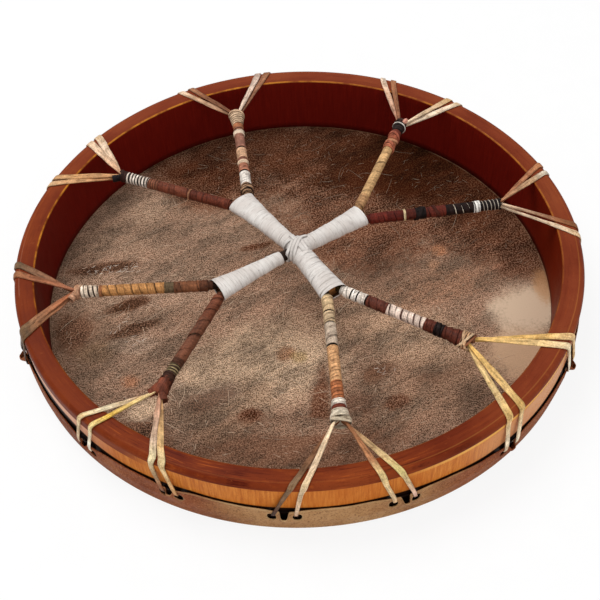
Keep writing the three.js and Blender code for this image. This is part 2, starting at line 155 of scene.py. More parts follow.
class Shape:
    """Closed lofts gathered into one mesh. Every corner carries a tint, and its place on its strip: how
    far along and how far round it, in millimetres."""

    def __init__(self):
        self.points, self.faces, self.tints, self.strips, self.size = [], [], [], [], 0

    def loft(self, rings, tint, round_trip=False):
        rings = np.asarray(rings, float)
        count, corners = rings.shape[:2]
        self.points.append(rings.reshape(-1, 3))
        self.tints.append(np.broadcast_to(tint, rings.shape).reshape(-1, 3))
        along, around = travelled(rings.mean(1))[:, None], travelled(rings[count // 2])[None]
        strip = np.broadcast_arrays(along, around, 9.7 * len(self.strips))
        self.strips.append(np.stack(strip, -1).reshape(-1, 3))
        i = np.arange(count if round_trip else count - 1)[:, None]
        j = np.arange(corners)[None, :]
        ahead, beside = (i + 1) % count, (j + 1) % corners
        i, ahead = i * corners, ahead * corners
        quads = np.stack([i + j, i + beside, ahead + beside, ahead + j], -1)
        self.faces += (quads.reshape(-1, 4) + self.size).tolist()
        if not round_trip:
            first = self.size + np.arange(corners)
            self.faces.append(first[::-1].tolist())
            self.faces.append((first + (count - 1) * corners).tolist())
        self.size += count * corners

    def make(self, name, materials, slot, *nodes):
        mesh = bpy.data.meshes.new(name)
        mesh.from_pydata((settle(np.concatenate(self.points)) * MM).tolist(), [], self.faces)
        tints = np.clip(np.concatenate(self.tints), 0, 1)
        tints = np.concatenate([tints, np.ones((len(tints), 1))], 1)
        layer = mesh.attributes.new("tint", "FLOAT_COLOR", "POINT")
        layer.data.foreach_set("color", tints.astype(np.float32).ravel())
        layer = mesh.attributes.new("strip", "FLOAT_VECTOR", "POINT")
        layer.data.foreach_set("vector", np.concatenate(self.strips).astype(np.float32).ravel())
        return place(name, mesh, materials, slot, *nodes)


def linked(name, data):
    made = bpy.data.objects.new(name, data)
    bpy.context.scene.collection.objects.link(made)
    return made


def place(name, mesh, materials, slot, *nodes):
    """Turns the faces outward, shades them smooth and makes the piece ride on the drum."""
    work = bmesh.new()
    work.from_mesh(mesh)
    bmesh.ops.recalc_face_normals(work, faces=work.faces)
    work.to_mesh(mesh)
    work.free()
    mesh.polygons.foreach_set("use_smooth", [True] * len(mesh.polygons))
    for material in materials:
        mesh.materials.append(material)
    piece = linked(name, mesh)
    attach(piece, "root")
    if nodes:
        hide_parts(*nodes)
    return piece


def rounded(points, steps):
    """A closed outline through the points, with its corners rounded off."""
    line = np.asarray(points, float)
    for _ in range(steps):
        ahead = np.roll(line, -1, 0)
        line = np.stack([line * 0.75 + ahead * 0.25, line * 0.25 + ahead * 0.75], 1).reshape(-1, 2)
    return line


# A band's section, across from -0.5 to 0.5 and through from 0 to 1, and a lace's, from -1 to 1 both ways
BAND = rounded([(-0.5, 0), (-0.5, 0.9), (-0.2, 1.05), (0.2, 1.05), (0.5, 0.9), (0.5, 0), (0, 0)], 1).T[:, None]
LACE = rounded([(-1, -1), (-1, 1), (0, 1), (1, 1), (1, -1), (0, -1)], 2).T[:, None]


def circle(steps):
    return np.linspace(0, 2 * math.pi, steps, endpoint=False)


def round_axis(axis, s, angle, half_width, half_height):
    """Points at a distance s along an axis and an angle round it."""
    return (
        axis.origin
        + s[..., None] * axis.direction
        + (half_width * np.cos(angle))[..., None] * axis.across
        + (half_height * np.sin(angle))[..., None] * axis.up
    )


TILED = 1.05  # how far a turn that laps over its neighbour is tilted, in thicknesses
LOOSE = 0.12  # how far a turn strays, in pitches
FRAYED = 0.05  # how much a band's width changes
RIPPLED = 0.18  # how far a band's surface goes up and down, in thicknesses


def wind(
    shape, axis, start, stop, pitch, size, thickness, color,
    cover=1.1, seed=0, steps=30, dark=0.28, rough=0.1, lumps=0.0,
):
    """A flat band wound round an axis from start to stop. Turns that cover more than the pitch lap over
    each other like tiles. size gives the half width and half height of what it is wound on."""
    lap = TILED if cover > 1 else 0.1
    turns = (stop - start) / pitch + 1
    angle = np.linspace(0, 2 * math.pi * turns, max(8, int(turns * steps)) + 1)
    turn = angle / (2 * math.pi)
    middle = start - pitch / 2 + pitch * (turn + LOOSE * wave(turn, seed, (1.7, 3.1, 0.8)))
    across, through = BAND
    frayed = 1 + FRAYED * wave(turn, seed + 5, (0.23, 0.41, 0.13))[:, None]
    s = np.clip(middle[:, None] + across * pitch * cover * frayed, start, stop) + across * 0.15
    rise = thickness * (lap * (across + 0.5) + through)
    rise = rise + RIPPLED * thickness * wave(turn, seed + 1, (0.31, 0.47, 0.19))[:, None]
    rise = rise + lumps * (0.6 + wave(turn, seed + 6, (0.93, 1.31, 0.37)))[:, None]
    half_width, half_height = size(s)
    points = round_axis(axis, s, angle[:, None], half_width + rise, half_height + rise)
    grain = np.random.RandomState(seed).normal(1, rough, len(angle))
    shade = (1 + 2 * rough * wave(turn, seed + 2, (1.9, 4.3, 0.7))) * grain
    # painted shade: each turn darkens towards its edge that is tucked under the next turn
    tucked_edge_shade = dark + (1 - dark) * smooth_step(-0.5, -0.28, across)
    shape.loft(points, color * (shade[:, None] * tucked_edge_shade)[..., None])


def ring(shape, axis, at, width, size, thickness, color, slant=0.0, shift=0.0, steps=40):
    """One closed turn round an axis. slant is how far it leans along the axis, and shift how far its
    centre lies to the side."""
    angle = circle(steps)[:, None]
    across, through = BAND
    s = at + across * width + slant * np.sin(angle + 0.6)
    rise = thickness * through
    points = round_axis(axis, s, angle, size[0] + rise, size[1] + rise) + shift * axis.across
    # painted shade: darker towards the band's edges
    edge = 1 - 0.35 * smooth_step(0.3, 0.5, np.abs(across))
    shape.loft(points, color * ((1 + 0.14 * np.sin(3 * angle)) * edge)[..., None], round_trip=True)


def along(at, run, rows):
    """Rows of numbers, known at the places of a run, at other places of it."""
    return np.stack([np.interp(at, run, column) for column in np.transpose(rows)], 1)


def resample(stations, step):
    """Even steps along a route. A station is a row of numbers that starts with its place."""
    stations = np.asarray(stations, float)
    run = travelled(stations[:, :3])
    at = np.linspace(0, run[-1], max(3, int(run[-1] / step)) + 1)
    return at, along(at, run, stations), run


def soften(rows, times):
    """Rounds the corners of a route, and keeps its ends."""
    rows = rows.copy()
    for _ in range(times):
        rows[1:-1] = 0.25 * rows[:-2] + 0.5 * rows[1:-1] + 0.25 * rows[2:]
    return rows


# Routes of the lacing


def core_size(arm, distance):
    """Half width and half height of the grip's core at a distance from the hub."""
    _, reach, waist, mouth, _ = arm
    flare = (np.asarray(distance, float) / reach) ** 2
    width = waist + (mouth - waist) * flare
    height = waist + (MOUTH_HEIGHT - waist) * flare
    return width / 2 - TAPE, height / 2 - TAPE


def arm_axis(arm):
    direction = outward(arm[0])
    return Axis(HUB, direction, left_of(direction))


def spoke_lines():
    lines = []
    bundle = BUNDLED_WIDTH + STRAND_GAP / 2
    for arm in ARMS:
        axis = arm_axis(arm)
        offset = core_size(arm, arm[1] - CORE_INSET)[0] - 1 - FIT - bundle
        for side, (bearing, inset, legs, drifts) in zip(SIDES, arm[4]):
            tail = HUB + axis.direction * (arm[1] - STRAND_TAIL) + axis.across * side * (bundle + 2 * FIT)
            bend = HUB + axis.direction * arm[1] + axis.across * side * offset
            fork = outward(bearing) * (INNER_RADIUS - inset) + UP * WEB_HEIGHT
            direction = unit(fork - bend)
            spoke = Axis(bend, direction, left_of(direction))
            length = np.linalg.norm(fork - bend)
            lines.append(Line(tail, bend, fork, unit(bend - tail), direction, spoke, length, legs, drifts))
    return lines


LINES = spoke_lines()


# How the two strands of a leg lie on the hoop, the one nearer the other leg first. In millimetres round the
# hoop from the leg's bearing: where the strand comes to the rim's edge, where it turns towards its slot on
# the wall, with the height of that turn, and its slot. The other legs lie as they do in the CAD.
STRANDS = {
    "1a": ((-5, -5, EDGE_LOW, 0), (5, 5, EDGE_LOW, 16)),
    "2b": ((5, 5, EDGE_LOW, 0), (-5, -5, EDGE_LOW, -16)),
    "5a": ((-2.9, -1.1, 57, 7.4), (7.8, 10, 57, 19.4)),
    "5b": ((6.8, 5.7, 56, 2.8), (-7.4, -9.2, 56, -9.6)),
    "6a": ((-5.2, -2.8, 50, 3.7), (9.1, 12, 53.5, 19.9)),
    "6b": ((5.7, 3.3, 54.5, -1.3), (-4.0, -7.2, 54.5, -18.5)),
    "7a": ((-6.6, -8.4, 51.5, 0.2), (1.8, 2.9, 50, 11.6)),
    "7b": ((2.9, -0.6, 48, -2.8), (-10.2, -14.4, 48, -15.7)),
    "8a": ((-3, -3, EDGE_LOW, -16.8), (3, 3, EDGE_LOW, -0.8)),
}


def leg_strands(name, line, which):
    """A leg's two strands with their bearings, upper strand first."""
    side = SIDES[which]
    middle = side * line.drifts[which] * SLOT_DRIFT
    aside = [-side * tier / 2 for tier in SIDES]
    usual = [(a * LEG_SPREAD, a * LEG_SPREAD, EDGE_LOW, middle + a * SLOT_SPREAD) for a in aside]
    bearing = lambda mm: line.legs[which] + math.degrees(mm / HOOP_RADIUS)
    return [
        Strand(tier, bearing(on_rim), bearing(turn), height, bearing(slot))
        for tier, (on_rim, turn, height, slot) in zip(SIDES, STRANDS.get(name, usual))
    ]


LEGS = {
    f"{number}{letter}": leg_strands(f"{number}{letter}", line, which)
    for number, line in enumerate(LINES, 1)
    for which, letter in enumerate("ab")
}

# How far the lacing of a leg pulls the hem out into a fold
FOLDS = {"5a": 4.6, "5b": 3.6, "6a": 4.6, "6b": 4.6, "7a": 3.4, "7b": 2.2, "8a": 5.0}
PULLS = [((first.slot + second.slot) / 2, FOLDS.get(name, 3.0)) for name, (first, second) in LEGS.items()]
# How much higher or lower than usual the hem's edge is: bearing and difference
HEM_EDGE = [
    (-180, 0), (-160, -2), (-140, -1), (-127, 0), (-120, 1.5), (-111, 4.5), (-104, 2.5), (-97, 1.2), (-85, 1),
    (-75, 1.6), (-64, 0), (-57, -4), (-50, -5.5), (-43, -8), (-34, -9), (-22, -6), (-8, -2), (10, 0), (60, 1),
    (120, -1), (180, 0),
]


def from_pulls(bearing):
    """Millimetres round the hoop to the middle of each leg's slots, and the size of the fold there."""
    for at, pull in PULLS:
        yield ((np.asarray(bearing) - at + 180) % 360 - 180) * HOOP_RADIUS * math.pi / 180, pull


def fold(bearing):
    """How far the hem stands out between the two slots of a leg."""
    return sum(pull * np.exp(-((apart / 3.0) ** 6)) for apart, pull in from_pulls(bearing))


def pucker(bearing, height):
    """How far the hem is off its usual place: in folds at the legs, and closer to the wall elsewhere."""
    broad = sum(np.exp(-((apart / 15) ** 2)) for apart, _ in from_pulls(bearing))
    loose = 0.8 * broad - 1.2 * (1 - np.minimum(broad, 1))
    return loose * smooth_step(12, 26, height) + fold(bearing) * smooth_step(15, HEM_HEIGHT, height)


def hem_height(bearing, height):
    """Where a height of the hem comes to lie, with its uneven edge."""
    known, change = zip(*HEM_EDGE)
    lift = np.interp((np.asarray(bearing, float) + 180) % 360 - 180, known, change)
    return height + lift * smooth_step(HEM_FLARE_START, HEM_HEIGHT, height)


# Shares of a lace's width: at the rim's edge, on the wall, past the hem's edge and in its slot
AT_EDGE, ON_WALL, PAST_HEM, IN_SLOT = 0.9, 0.84, 0.7, 0.58


def strand_route(line, which, strand, lace_width, aside, edge):
    """Stations of one strand: place, half width across, half thickness through. Nine numbers each. aside is
    how far to the side it comes out of the fork's knot, and edge the radius of its bend over the rim."""
    side = SIDES[which]
    lateral = side * (BUNDLED_WIDTH + STRAND_GAP) / 2
    rise = strand.tier * (BUNDLED_THICKNESS + STRAND_GAP) / 2
    on_rim, in_hem = strand.on_rim, strand.slot
    stations = []

    def station(middle, across, width, through, thickness=LACE_THICKNESS):
        stations.append(np.concatenate([middle, across * width / 2, unit(through) * thickness / 2]))

    headings = (line.inside, unit(line.inside + line.direction), line.direction)
    for point, across in zip((line.tail, line.bend, line.fork), map(left_of, headings)):
        station(point + across * lateral + UP * rise, across, BUNDLED_WIDTH, UP, BUNDLED_THICKNESS)

    fork_end = stations[-1][:3] + line.direction * 2 + left_of(line.direction) * side * aside
    station(fork_end, left_of(line.direction), BUNDLED_WIDTH, UP, BUNDLED_THICKNESS)
    run = (outward(on_rim) * HOOP_RADIUS - fork_end) * [1, 1, 0]
    slant = unit(run)

    def on_run(radius, height):
        """Where the straight run from the fork over the rim comes to a radius, at a height."""
        a, b = run @ run, fork_end[:2] @ run[:2]
        c = fork_end[:2] @ fork_end[:2] - radius**2
        point = fork_end + run * (math.sqrt(b * b - a * c) - b) / a
        return np.array([point[0], point[1], height])

    skew = lace_width / (slant @ outward(on_rim))
    on_wall = on_run(INNER_RADIUS + RIM_EASE, LACE_TOP)
    early = fork_end + 0.4 * (on_wall - fork_end)
    early[2] = WEB_HEIGHT + 0.4 * (LACE_TOP - WEB_HEIGHT) + rise * 0.85
    width = BUNDLED_WIDTH + 0.6 * (lace_width - BUNDLED_WIDTH)
    thickness = BUNDLED_THICKNESS + 0.5 * (LACE_THICKNESS - BUNDLED_THICKNESS)
    station(early, left_of(slant), width, UP, thickness)
    rounding = LACE_POCKET - edge
    for middle in (on_wall, on_run(rounding, LACE_TOP)):
        station(middle, left_of(unit(middle * [1, 1, 0])), skew, UP)
    came = math.degrees(math.atan2(middle[1], middle[0]))
    drift = (strand.turn - came + 180) % 360 - 180
    edge_height = LACE_TOP - edge
    turn_height = min(strand.turn_height, edge_height - 0.5)
    whole = edge * math.pi / 2 + edge_height - turn_height
    for degrees in range(15, 91, 15):
        a = math.radians(degrees)
        radial = outward(came + drift * edge * a / whole)
        middle = radial * (rounding + edge * math.sin(a)) + UP * (edge_height + edge * math.cos(a))
        width = skew + (AT_EDGE * lace_width - skew) * (1 - math.cos(a))
        station(middle, left_of(radial), width, radial * math.sin(a) + UP * math.cos(a))

    radial = outward(strand.turn)
    station(radial * LACE_POCKET + UP * turn_height, left_of(radial), lace_width * ON_WALL, radial)
    past_bearing = strand.turn + 0.8 * (in_hem - strand.turn)
    past_height = hem_height(past_bearing, HEM_HEIGHT) + 2 * LACE_THICKNESS
    slot_height = hem_height(in_hem, SLOT_HEIGHT)
    on_hem = HEM_INNER + SKIN + FIT + LACE_THICKNESS / 2
    radial, tangent = outward(in_hem), left_of(outward(in_hem))
    past = outward(past_bearing) * (on_hem + pucker(past_bearing, HEM_HEIGHT)) + UP * past_height
    at_slot = radial * (on_hem + pucker(in_hem, SLOT_HEIGHT)) + UP * slot_height
    behind = radial * LACE_POCKET + UP * slot_height
    station(past, tangent, lace_width * PAST_HEM, radial)
    station(at_slot, tangent, lace_width * IN_SLOT, radial - UP)
    station(behind, tangent, lace_width * IN_SLOT, -UP)
    return stations


LACE_STEP = 1.1  # between the sections of a lace
MOST_TWIST = 26  # degrees
CUPPED = 0.3  # how far the edges of a hanging lace curl up


def lace(shape, stations, colors, seed):
    """A rawhide strip along its stations, twisted and cupped a little where it hangs free."""
    at, rows, run = resample(stations, LACE_STEP)
    rows = soften(rows, 2)
    middle, across, through = rows[:, 0:3], rows[:, 3:6], rows[:, 6:9]
    free = np.clip((at - run[3]) / (run[5] - run[3]), 0, 1)
    hanging = np.sin(math.pi * free) * (free > 0) * (free < 1)
    draw = random.Random(seed)
    turn = math.radians(draw.uniform(-MOST_TWIST, MOST_TWIST)) * hanging
    half_width = np.linalg.norm(across, axis=1)[:, None]
    half_thick = np.linalg.norm(through, axis=1)[:, None]
    flat, normal = across / half_width, through / half_thick
    cos, sin = np.cos(turn)[:, None], np.sin(turn)[:, None]
    flat, normal = flat * cos + normal * sin, normal * cos - flat * sin
    half_width = half_width * (1 + 0.1 * wave(at, seed + 1, (19, 31, 47)))[:, None]
    x, y = LACE
    cup = CUPPED * hanging[:, None] * x * x
    points = (
        middle[:, None]
        + (x * half_width)[..., None] * flat[:, None]
        + (y * half_thick + cup)[..., None] * normal[:, None]
    )
    # painted shade: the lace is near black at its bend in the grip's mouth, and lightens towards the fork
    stops = run[[1, 3, 5, 6, -3, -1]]
    shown = [colors[0] * 0.06, *colors]
    color = along(at, stops, shown)
    blotch = 1.08 + 0.22 * wave(at, seed + 2, (23, 41, 13)) + 0.1 * wave(at, seed + 3, (3.1, 5.3, 7.7))
    stripe = 1 + 0.16 * np.sin(3.1 * x + draw.uniform(0, 6)) * np.cos(at / 17 + draw.uniform(0, 6))[:, None]
    edge = 1 - 0.2 * smooth_step(0.7, 1, np.abs(x))
    shape.loft(points, color[:, None] * (blotch[:, None] * stripe * edge)[..., None])
    return middle[-1]


# Materials


class Nodes:
    """A material's node tree. Colours are given by the 0 to 255 numbers that they have on the screen."""

    def __init__(self, name):
        self.material = bpy.data.materials.new(name)
        self.material.use_nodes = True
        self.tree = self.material.node_tree
        self.bsdf = self.tree.nodes["Principled BSDF"]
        self.place = self.add("TexCoord", {}, "Object")
        self.flat = self.scaled(self.place, 1, 1, 0)

    def feed(self, node, values):
        """Links or sets some of a node's inputs."""
        for key, value in values.items():
            socket = node.inputs[key]
            if isinstance(value, bpy.types.NodeSocket):
                self.tree.links.new(value, socket)
            else:
                socket.default_value = (*tone(*value), 1) if socket.type == "RGBA" else value

    def add(self, kind, values, out=0, **settings):
        node = self.tree.nodes.new("ShaderNode" + kind)
        for key, value in settings.items():
            setattr(node, key, value)
        self.feed(node, values)
        return node.outputs[out]

    def math(self, operation, *values):
        return self.add("Math", dict(enumerate(values)), operation=operation)

    def times(self, value, *others):
        for other in others:
            value = self.math("MULTIPLY", value, other)
        return value

    def total(self, rest, *terms):
        """A number and some values, each multiplied by its weight, added up."""
        for value, weight in terms:
            rest = self.math("MULTIPLY_ADD", value, weight, rest)
        return rest

    def vector(self, operation, *values, out=0):
        return self.add("VectorMath", dict(enumerate(values)), out, operation=operation)

    def scaled(self, vector, *factors):
        """A place or a colour with each of its parts multiplied."""
        return self.vector("MULTIPLY", vector, factors)

    def shaded(self, color, share):
        return self.add("VectorMath", {0: color, "Scale": share}, operation="SCALE")

    def mapped(self, at, turn, size):
        """The flat place as seen from a spot with a turn in degrees and a size."""
        turned = (0, 0, math.radians(turn))
        values = {"Vector": self.flat, "Location": (*at, 0), "Rotation": turned, "Scale": (*size, 1)}
        return self.add("Mapping", values, vector_type="TEXTURE")

    def noise(self, vector, scale, detail=3.0, roughness=0.55, distortion=0.0):
        values = {"Vector": vector, "Scale": scale, "Detail": detail, "Roughness": roughness}
        return self.add("TexNoise", values | {"Distortion": distortion}, "Fac")

    def step(self, value, low, high, bottom=0.0, top=1.0, kind="SMOOTHSTEP"):
        return self.add("MapRange", dict(enumerate((value, low, high, bottom, top))), interpolation_type=kind)

    def mix(self, share, first, second, blend="MIX"):
        return self.add("Mix", {0: share, 6: first, 7: second}, 2, data_type="RGBA", blend_type=blend)

    def ramp(self, value, *stops):
        """Three colours, each after the value at which it is reached."""
        (low, *dark), (middle, *color), (high, *light) = stops
        color = self.mix(self.step(value, low, middle, kind="LINEAR"), dark, color)
        return self.mix(self.step(value, middle, high, kind="LINEAR"), color, light)

    def tint(self):
        return self.add("Attribute", {}, "Color", attribute_name="tint")

    def tint_parts(self):
        return self.add("SeparateColor", {0: self.tint()}, slice(3))

    def strip(self, along, around):
        """The place on a strip, with lengths along and round it multiplied."""
        return self.scaled(self.add("Attribute", {}, "Vector", attribute_name="strip"), along, around, 1)

    def polar(self):
        """Radius from the drum's axis, height, and the bearing as a unit vector."""
        height = self.add("SeparateXYZ", {0: self.place}, 2)
        return self.vector("LENGTH", self.flat, out=1), height, self.vector("NORMALIZE", self.flat)

    def facing(self, bearing, degrees, wide, full, share=1.0):
        """The share within full degrees of a bearing, and 0 beyond wide degrees of it."""
        toward = self.vector("DOT_PRODUCT", bearing, outward(degrees), out=1)
        return self.step(toward, math.cos(math.radians(wide)), math.cos(math.radians(full)), 0.0, share)

    def finish(self, color, roughness, specular, bump=None, strength=0.0, distance=0.0):
        looks = {"Base Color": color, "Roughness": roughness, "Specular IOR Level": specular}
        if bump is not None:
            looks["Normal"] = self.add("Bump", {"Strength": strength, "Distance": distance, "Height": bump})
        self.feed(self.bsdf, looks)
        return self.material


def hoop_finish():
    """Stained red-brown on top, honey outside and maroon inside. The tint says which: green for the
    stained top, blue for the inside, and red for the golden line on the inner edge, where the stain is worn
    off and a painted highlight lies on it, and for painted shade on the outside behind the hem."""
    n = Nodes("hoop_finish")
    radius, height, bearing = n.polar()
    worn_glint_and_hem_shade, stained, within = n.tint_parts()
    along = n.add("CombineXYZ", {2: n.total(0.0, (radius, 480.0), (height, 480.0))})
    streak = n.noise(n.vector("ADD", n.scaled(bearing, 7, 7, 0), along), 1.0, 5.0, 0.68)
    upright = n.noise(n.scaled(n.place, 560, 560, 40), 1.0, 4.0, 0.7)
    cloud = n.noise(n.place, 15.0, 4.0, 0.6)
    fleck = n.noise(n.place, 950.0, 2.0, 0.5)
    scuff = n.noise(n.place, 130.0, 5.0, 0.75)

    streaky = n.total(0.25, (n.facing(bearing, -97, 45, 18), 0.7))
    top = n.ramp(cloud, (0.32, 128, 56, 34), (0.5, 141, 66, 41), (0.68, 152, 78, 48))
    redder = n.ramp(cloud, (0.32, 114, 44, 19), (0.5, 132, 57, 26), (0.68, 150, 72, 34))
    top = n.mix(n.facing(bearing, -130, 100, 50), top, redder)
    top = n.mix(n.times(n.step(streak, 0.5, 0.32), streaky), top, (84, 25, 11))
    top = n.mix(n.times(n.step(streak, 0.55, 0.72), streaky), top, (184, 94, 38))
    top = n.mix(n.step(scuff, 0.58, 0.72, 0.0, 0.35), top, (172, 94, 52))
    top = n.mix(n.step(radius, 0.241, 0.234, 0.0, 0.25), top, (104, 34, 15))
    top = n.scaled(top, 0.8, 0.72, 0.64)

    outside = n.ramp(upright, (0.25, 160, 78, 26), (0.5, 194, 113, 43), (0.75, 214, 140, 64))
    # painted highlight: a pale pink sheen on the outer wall at the right, below the round-over
    below = n.step(height, 0.0535, 0.0505)
    outside = n.mix(n.times(n.facing(bearing, -34, 30, 10, 0.75), below), outside, (216, 160, 118))
    # painted highlight: a pale pink sheen on the outer wall at the left
    outside = n.mix(n.facing(bearing, -158, 34, 20, 0.9), outside, (226, 172, 142))
    outside = n.mix(n.step(cloud, 0.5, 0.68, 0.0, 0.5), outside, (180, 92, 28))
    # painted highlight: a golden line at the top of the outer wall, at the right
    painted_edge_glint = n.times(n.facing(bearing, -36, 40, 24, 0.85), n.step(height, 0.0515, 0.0535))
    outside = n.mix(painted_edge_glint, outside, (232, 172, 84))
    # painted shade: the outer wall is dark behind the hem
    outside = n.mix(worn_glint_and_hem_shade, outside, (32, 17, 11))

    inside = n.ramp(upright, (0.2, 86, 13, 8), (0.6, 108, 21, 12), (0.9, 130, 32, 18))
    # painted light: the inner wall is brighter red at the right, where the light falls on it
    inside = n.mix(n.facing(bearing, -22, 46, 8, 0.9), inside, (108, 28, 5))
    inside = n.mix(n.step(scuff, 0.6, 0.74, 0.0, 0.3), inside, (136, 44, 26))

    spilled = n.times(n.facing(bearing, -146, 28, 21), n.step(height, 0.0482, 0.0494))
    color = n.mix(n.math("MAXIMUM", stained, spilled), outside, top)
    color = n.mix(within, color, inside)
    # the golden line on the eased inner edge: partly worn-off stain, partly painted highlight, stronger on the
    # far side
    worn = n.step(n.noise(n.place, 60.0, 3.0, 0.6), 0.34, 0.6, 0.15, 1.0)
    behind = n.total(0.15, (n.facing(bearing, 95, 112, 75), 0.35), (n.facing(bearing, 142, 64, 34), 0.4))
    color = n.mix(n.times(worn_glint_and_hem_shade, stained, worn, behind), color, (214, 138, 48))
    color = n.mix(n.step(fleck, 0.6, 0.76, 0.0, 0.4), color, (60, 22, 12))
    relief = n.total(0.0, (streak, 0.5), (upright, 0.5))
    return n.finish(color, n.step(cloud, 0.3, 0.7, 0.42, 0.58), 0.05, relief, 0.2, 0.0004)


# The hide's markings: place and half size in millimetres, turn in degrees, colour and strength
MARKINGS = [
    (120, 165, 180, 125, 0, (64, 25, 8), 0.97), (-40, 195, 160, 70, 0, (74, 36, 18), 0.95),
    (-95, 150, 66, 50, -25, (72, 30, 11), 0.9), (150, 150, 120, 84, 0, (56, 20, 5), 0.9),
    (190, 85, 75, 90, 0, (72, 31, 13), 0.9), (-120, 190, 14, 18, -25, (110, 72, 46), 0.35),
    (-172, 92, 66, 62, 0, (150, 118, 94), 0.75), (-150, 112, 26, 22, 20, (176, 142, 114), 0.5),
    (-92, 62, 70, 40, 10, (140, 108, 86), 0.7), (-150, 5, 84, 34, 0, (160, 128, 104), 0.5),
    (-150, -72, 56, 36, 10, (146, 116, 94), 0.4), (-30, -88, 88, 54, 14, (192, 160, 128), 0.9),
    (-78, -95, 44, 34, 20, (180, 148, 118), 0.6), (96, -66, 90, 40, -28, (172, 136, 106), 0.75),
    (128, -10, 76, 24, 14, (152, 100, 70), 0.6), (64, 62, 86, 66, 0, (98, 54, 34), 0.85),
    (30, -35, 60, 34, 20, (140, 104, 80), 0.5), (100, -128, 84, 40, 22, (138, 100, 75), 0.65),
    (-62, -128, 50, 24, 16, (142, 108, 82), 0.75), (-10, -176, 120, 38, 0, (106, 66, 45), 0.78),
    (-132, -160, 38, 20, -40, (84, 62, 50), 0.8), (-100, -140, 26, 16, -20, (124, 92, 70), 0.6),
    (-195, -50, 40, 62, 15, (112, 84, 64), 0.5), (214, 24, 34, 34, 0, (84, 42, 23), 0.8),
    (-136, -132, 19, 11, 20, (206, 172, 138), 0.85), (136, 36, 9, 8, 0, (186, 108, 60), 0.55),
    (128, 19, 8, 7, 0, (190, 130, 90), 0.5), (-78, -123, 30, 14, 20, (92, 76, 68), 0.7),
    (79, -136, 13, 9, 16, (84, 46, 28), 0.8), (66, -102, 20, 9, 16, (104, 64, 42), 0.6),
    (-111, -113, 26, 12, -30, (104, 82, 68), 0.55), (146, -96, 30, 12, 30, (104, 70, 50), 0.5),
    (186, 12, 9, 6, 30, (160, 100, 70), 0.55), (-14, -80, 10, 9, 10, (140, 82, 42), 0.8),
    (-3, -84, 9, 8, 10, (140, 110, 56), 0.7), (-46, -143, 13.5, 9, 8, (80, 40, 24), 1.0),
    (14, -130, 10, 46, -6, (98, 52, 32), 0.9), (-150, -102, 10, 9, 0, (156, 88, 48), 0.7),
    (-40, 53, 21, 5, 14, (84, 42, 22), 0.95), (-186, 34, 40, 9, 6, (66, 46, 36), 0.9),
    (-157, -14, 24, 9, 20, (66, 42, 30), 0.95), (-149, -43, 28, 9, 22, (76, 50, 36), 0.88),
    (-206, -44, 20, 26, 0, (84, 56, 42), 0.75), (-183, -68, 20, 14, 0, (128, 94, 58), 0.5),
    (-150, -62, 26, 12, 0, (166, 140, 118), 0.45), (0, -158, 54, 10, 0, (146, 108, 84), 0.6),
    (62, -108, 18, 11, 30, (104, 68, 48), 0.65), (46, -136, 18, 14, 0, (108, 60, 40), 0.55),
    (112, -112, 20, 10, 10, (104, 72, 54), 0.5), (-72, -158, 34, 12, 10, (134, 98, 72), 0.6),
]
# Where the hair is worn off, and the skin shows
BALD = [
    (192, -88, 40, 32, 40, (208, 170, 136), 0.85), (206, -40, 42, 32, 12, (218, 190, 162), 1.0),
    (228, -14, 13, 22, 0, (196, 144, 98), 0.7),
]


def marked(n, color, markings):
    """Lays markings over a colour, with ragged edges."""
    edge = n.total(-0.9, (n.noise(n.flat, 34.0, 5.0, 0.7), 1.1), (n.noise(n.flat, 420.0, 2.0, 0.6), 0.7))
    for x, y, half_x, half_y, turn, hue, strength in markings:
        spot = n.mapped((x * MM, y * MM), turn, (half_x * MM, half_y * MM))
        away = n.total(edge, (n.vector("LENGTH", spot, out=1), 1.0))
        color = n.mix(n.step(away, 1.15, 0.45, 0.0, strength), color, hue)
    return color


def hair_side():
    """The inside of the hide, with its clipped hair: worn and pale, or full and dark with light tips."""
    n = Nodes("hide_hair_side")
    color = marked(n, (142, 104, 81), MARKINGS)
    glow = n.vector("DOT_PRODUCT", color, (1, 0, 0), out=1)
    drift = n.noise(n.mapped((0, 0), 32, (2.0, 0.85)), 34.0, 6.0, 0.74)
    color = n.shaded(color, n.step(drift, 0.38, 0.64, 1.5, 0.42))
    fine = n.noise(n.flat, 1000.0, 2.0, 0.6)
    combed = n.noise(n.scaled(n.flat, 0.25, 1, 1), 900.0, 2.0, 0.7, 0.4)
    nap = n.total(0.0, (fine, 0.62), (combed, 0.24), (n.noise(n.flat, 300.0, 3.0, 0.8), 0.14))
    pale = n.mix(0.42, n.scaled(color, 1.62, 1.78, 1.96), (192, 162, 136))
    worn = n.mix(n.step(nap, 0.445, 0.555, kind="LINEAR"), n.scaled(color, 0.27, 0.22, 0.18), pale)
    spark = n.step(n.noise(n.flat, 700.0, 2.0, 0.7), 0.49, 0.575)
    spark = n.times(spark, n.step(glow, 0.035, 0.11, 0.24, 0.9), n.step(drift, 0.4, 0.62, 1.15, 0.68))
    tip = n.mix(n.step(glow, 0.03, 0.11), (132, 86, 54), (166, 124, 98))
    full = n.mix(spark, n.scaled(color, 0.62, 0.56, 0.52), tip)
    color = n.mix(n.step(glow, 0.12, 0.25), full, worn)
    color = n.mix(n.step(fine, 0.6, 0.72, 1.0, 0.62), color, marked(n, color, BALD))
    # painted highlight: a thin pale line where the skin curls up at the wall
    painted_joint_highlight = n.times(n.step(n.polar()[0], 0.2302, 0.2311, 0.0, 0.5), n.step(drift, 0.62, 0.42))
    color = n.mix(painted_joint_highlight, color, (140, 108, 82))
    return n.finish(color, 0.9, 0.03, nap, 0.2, 0.0004)


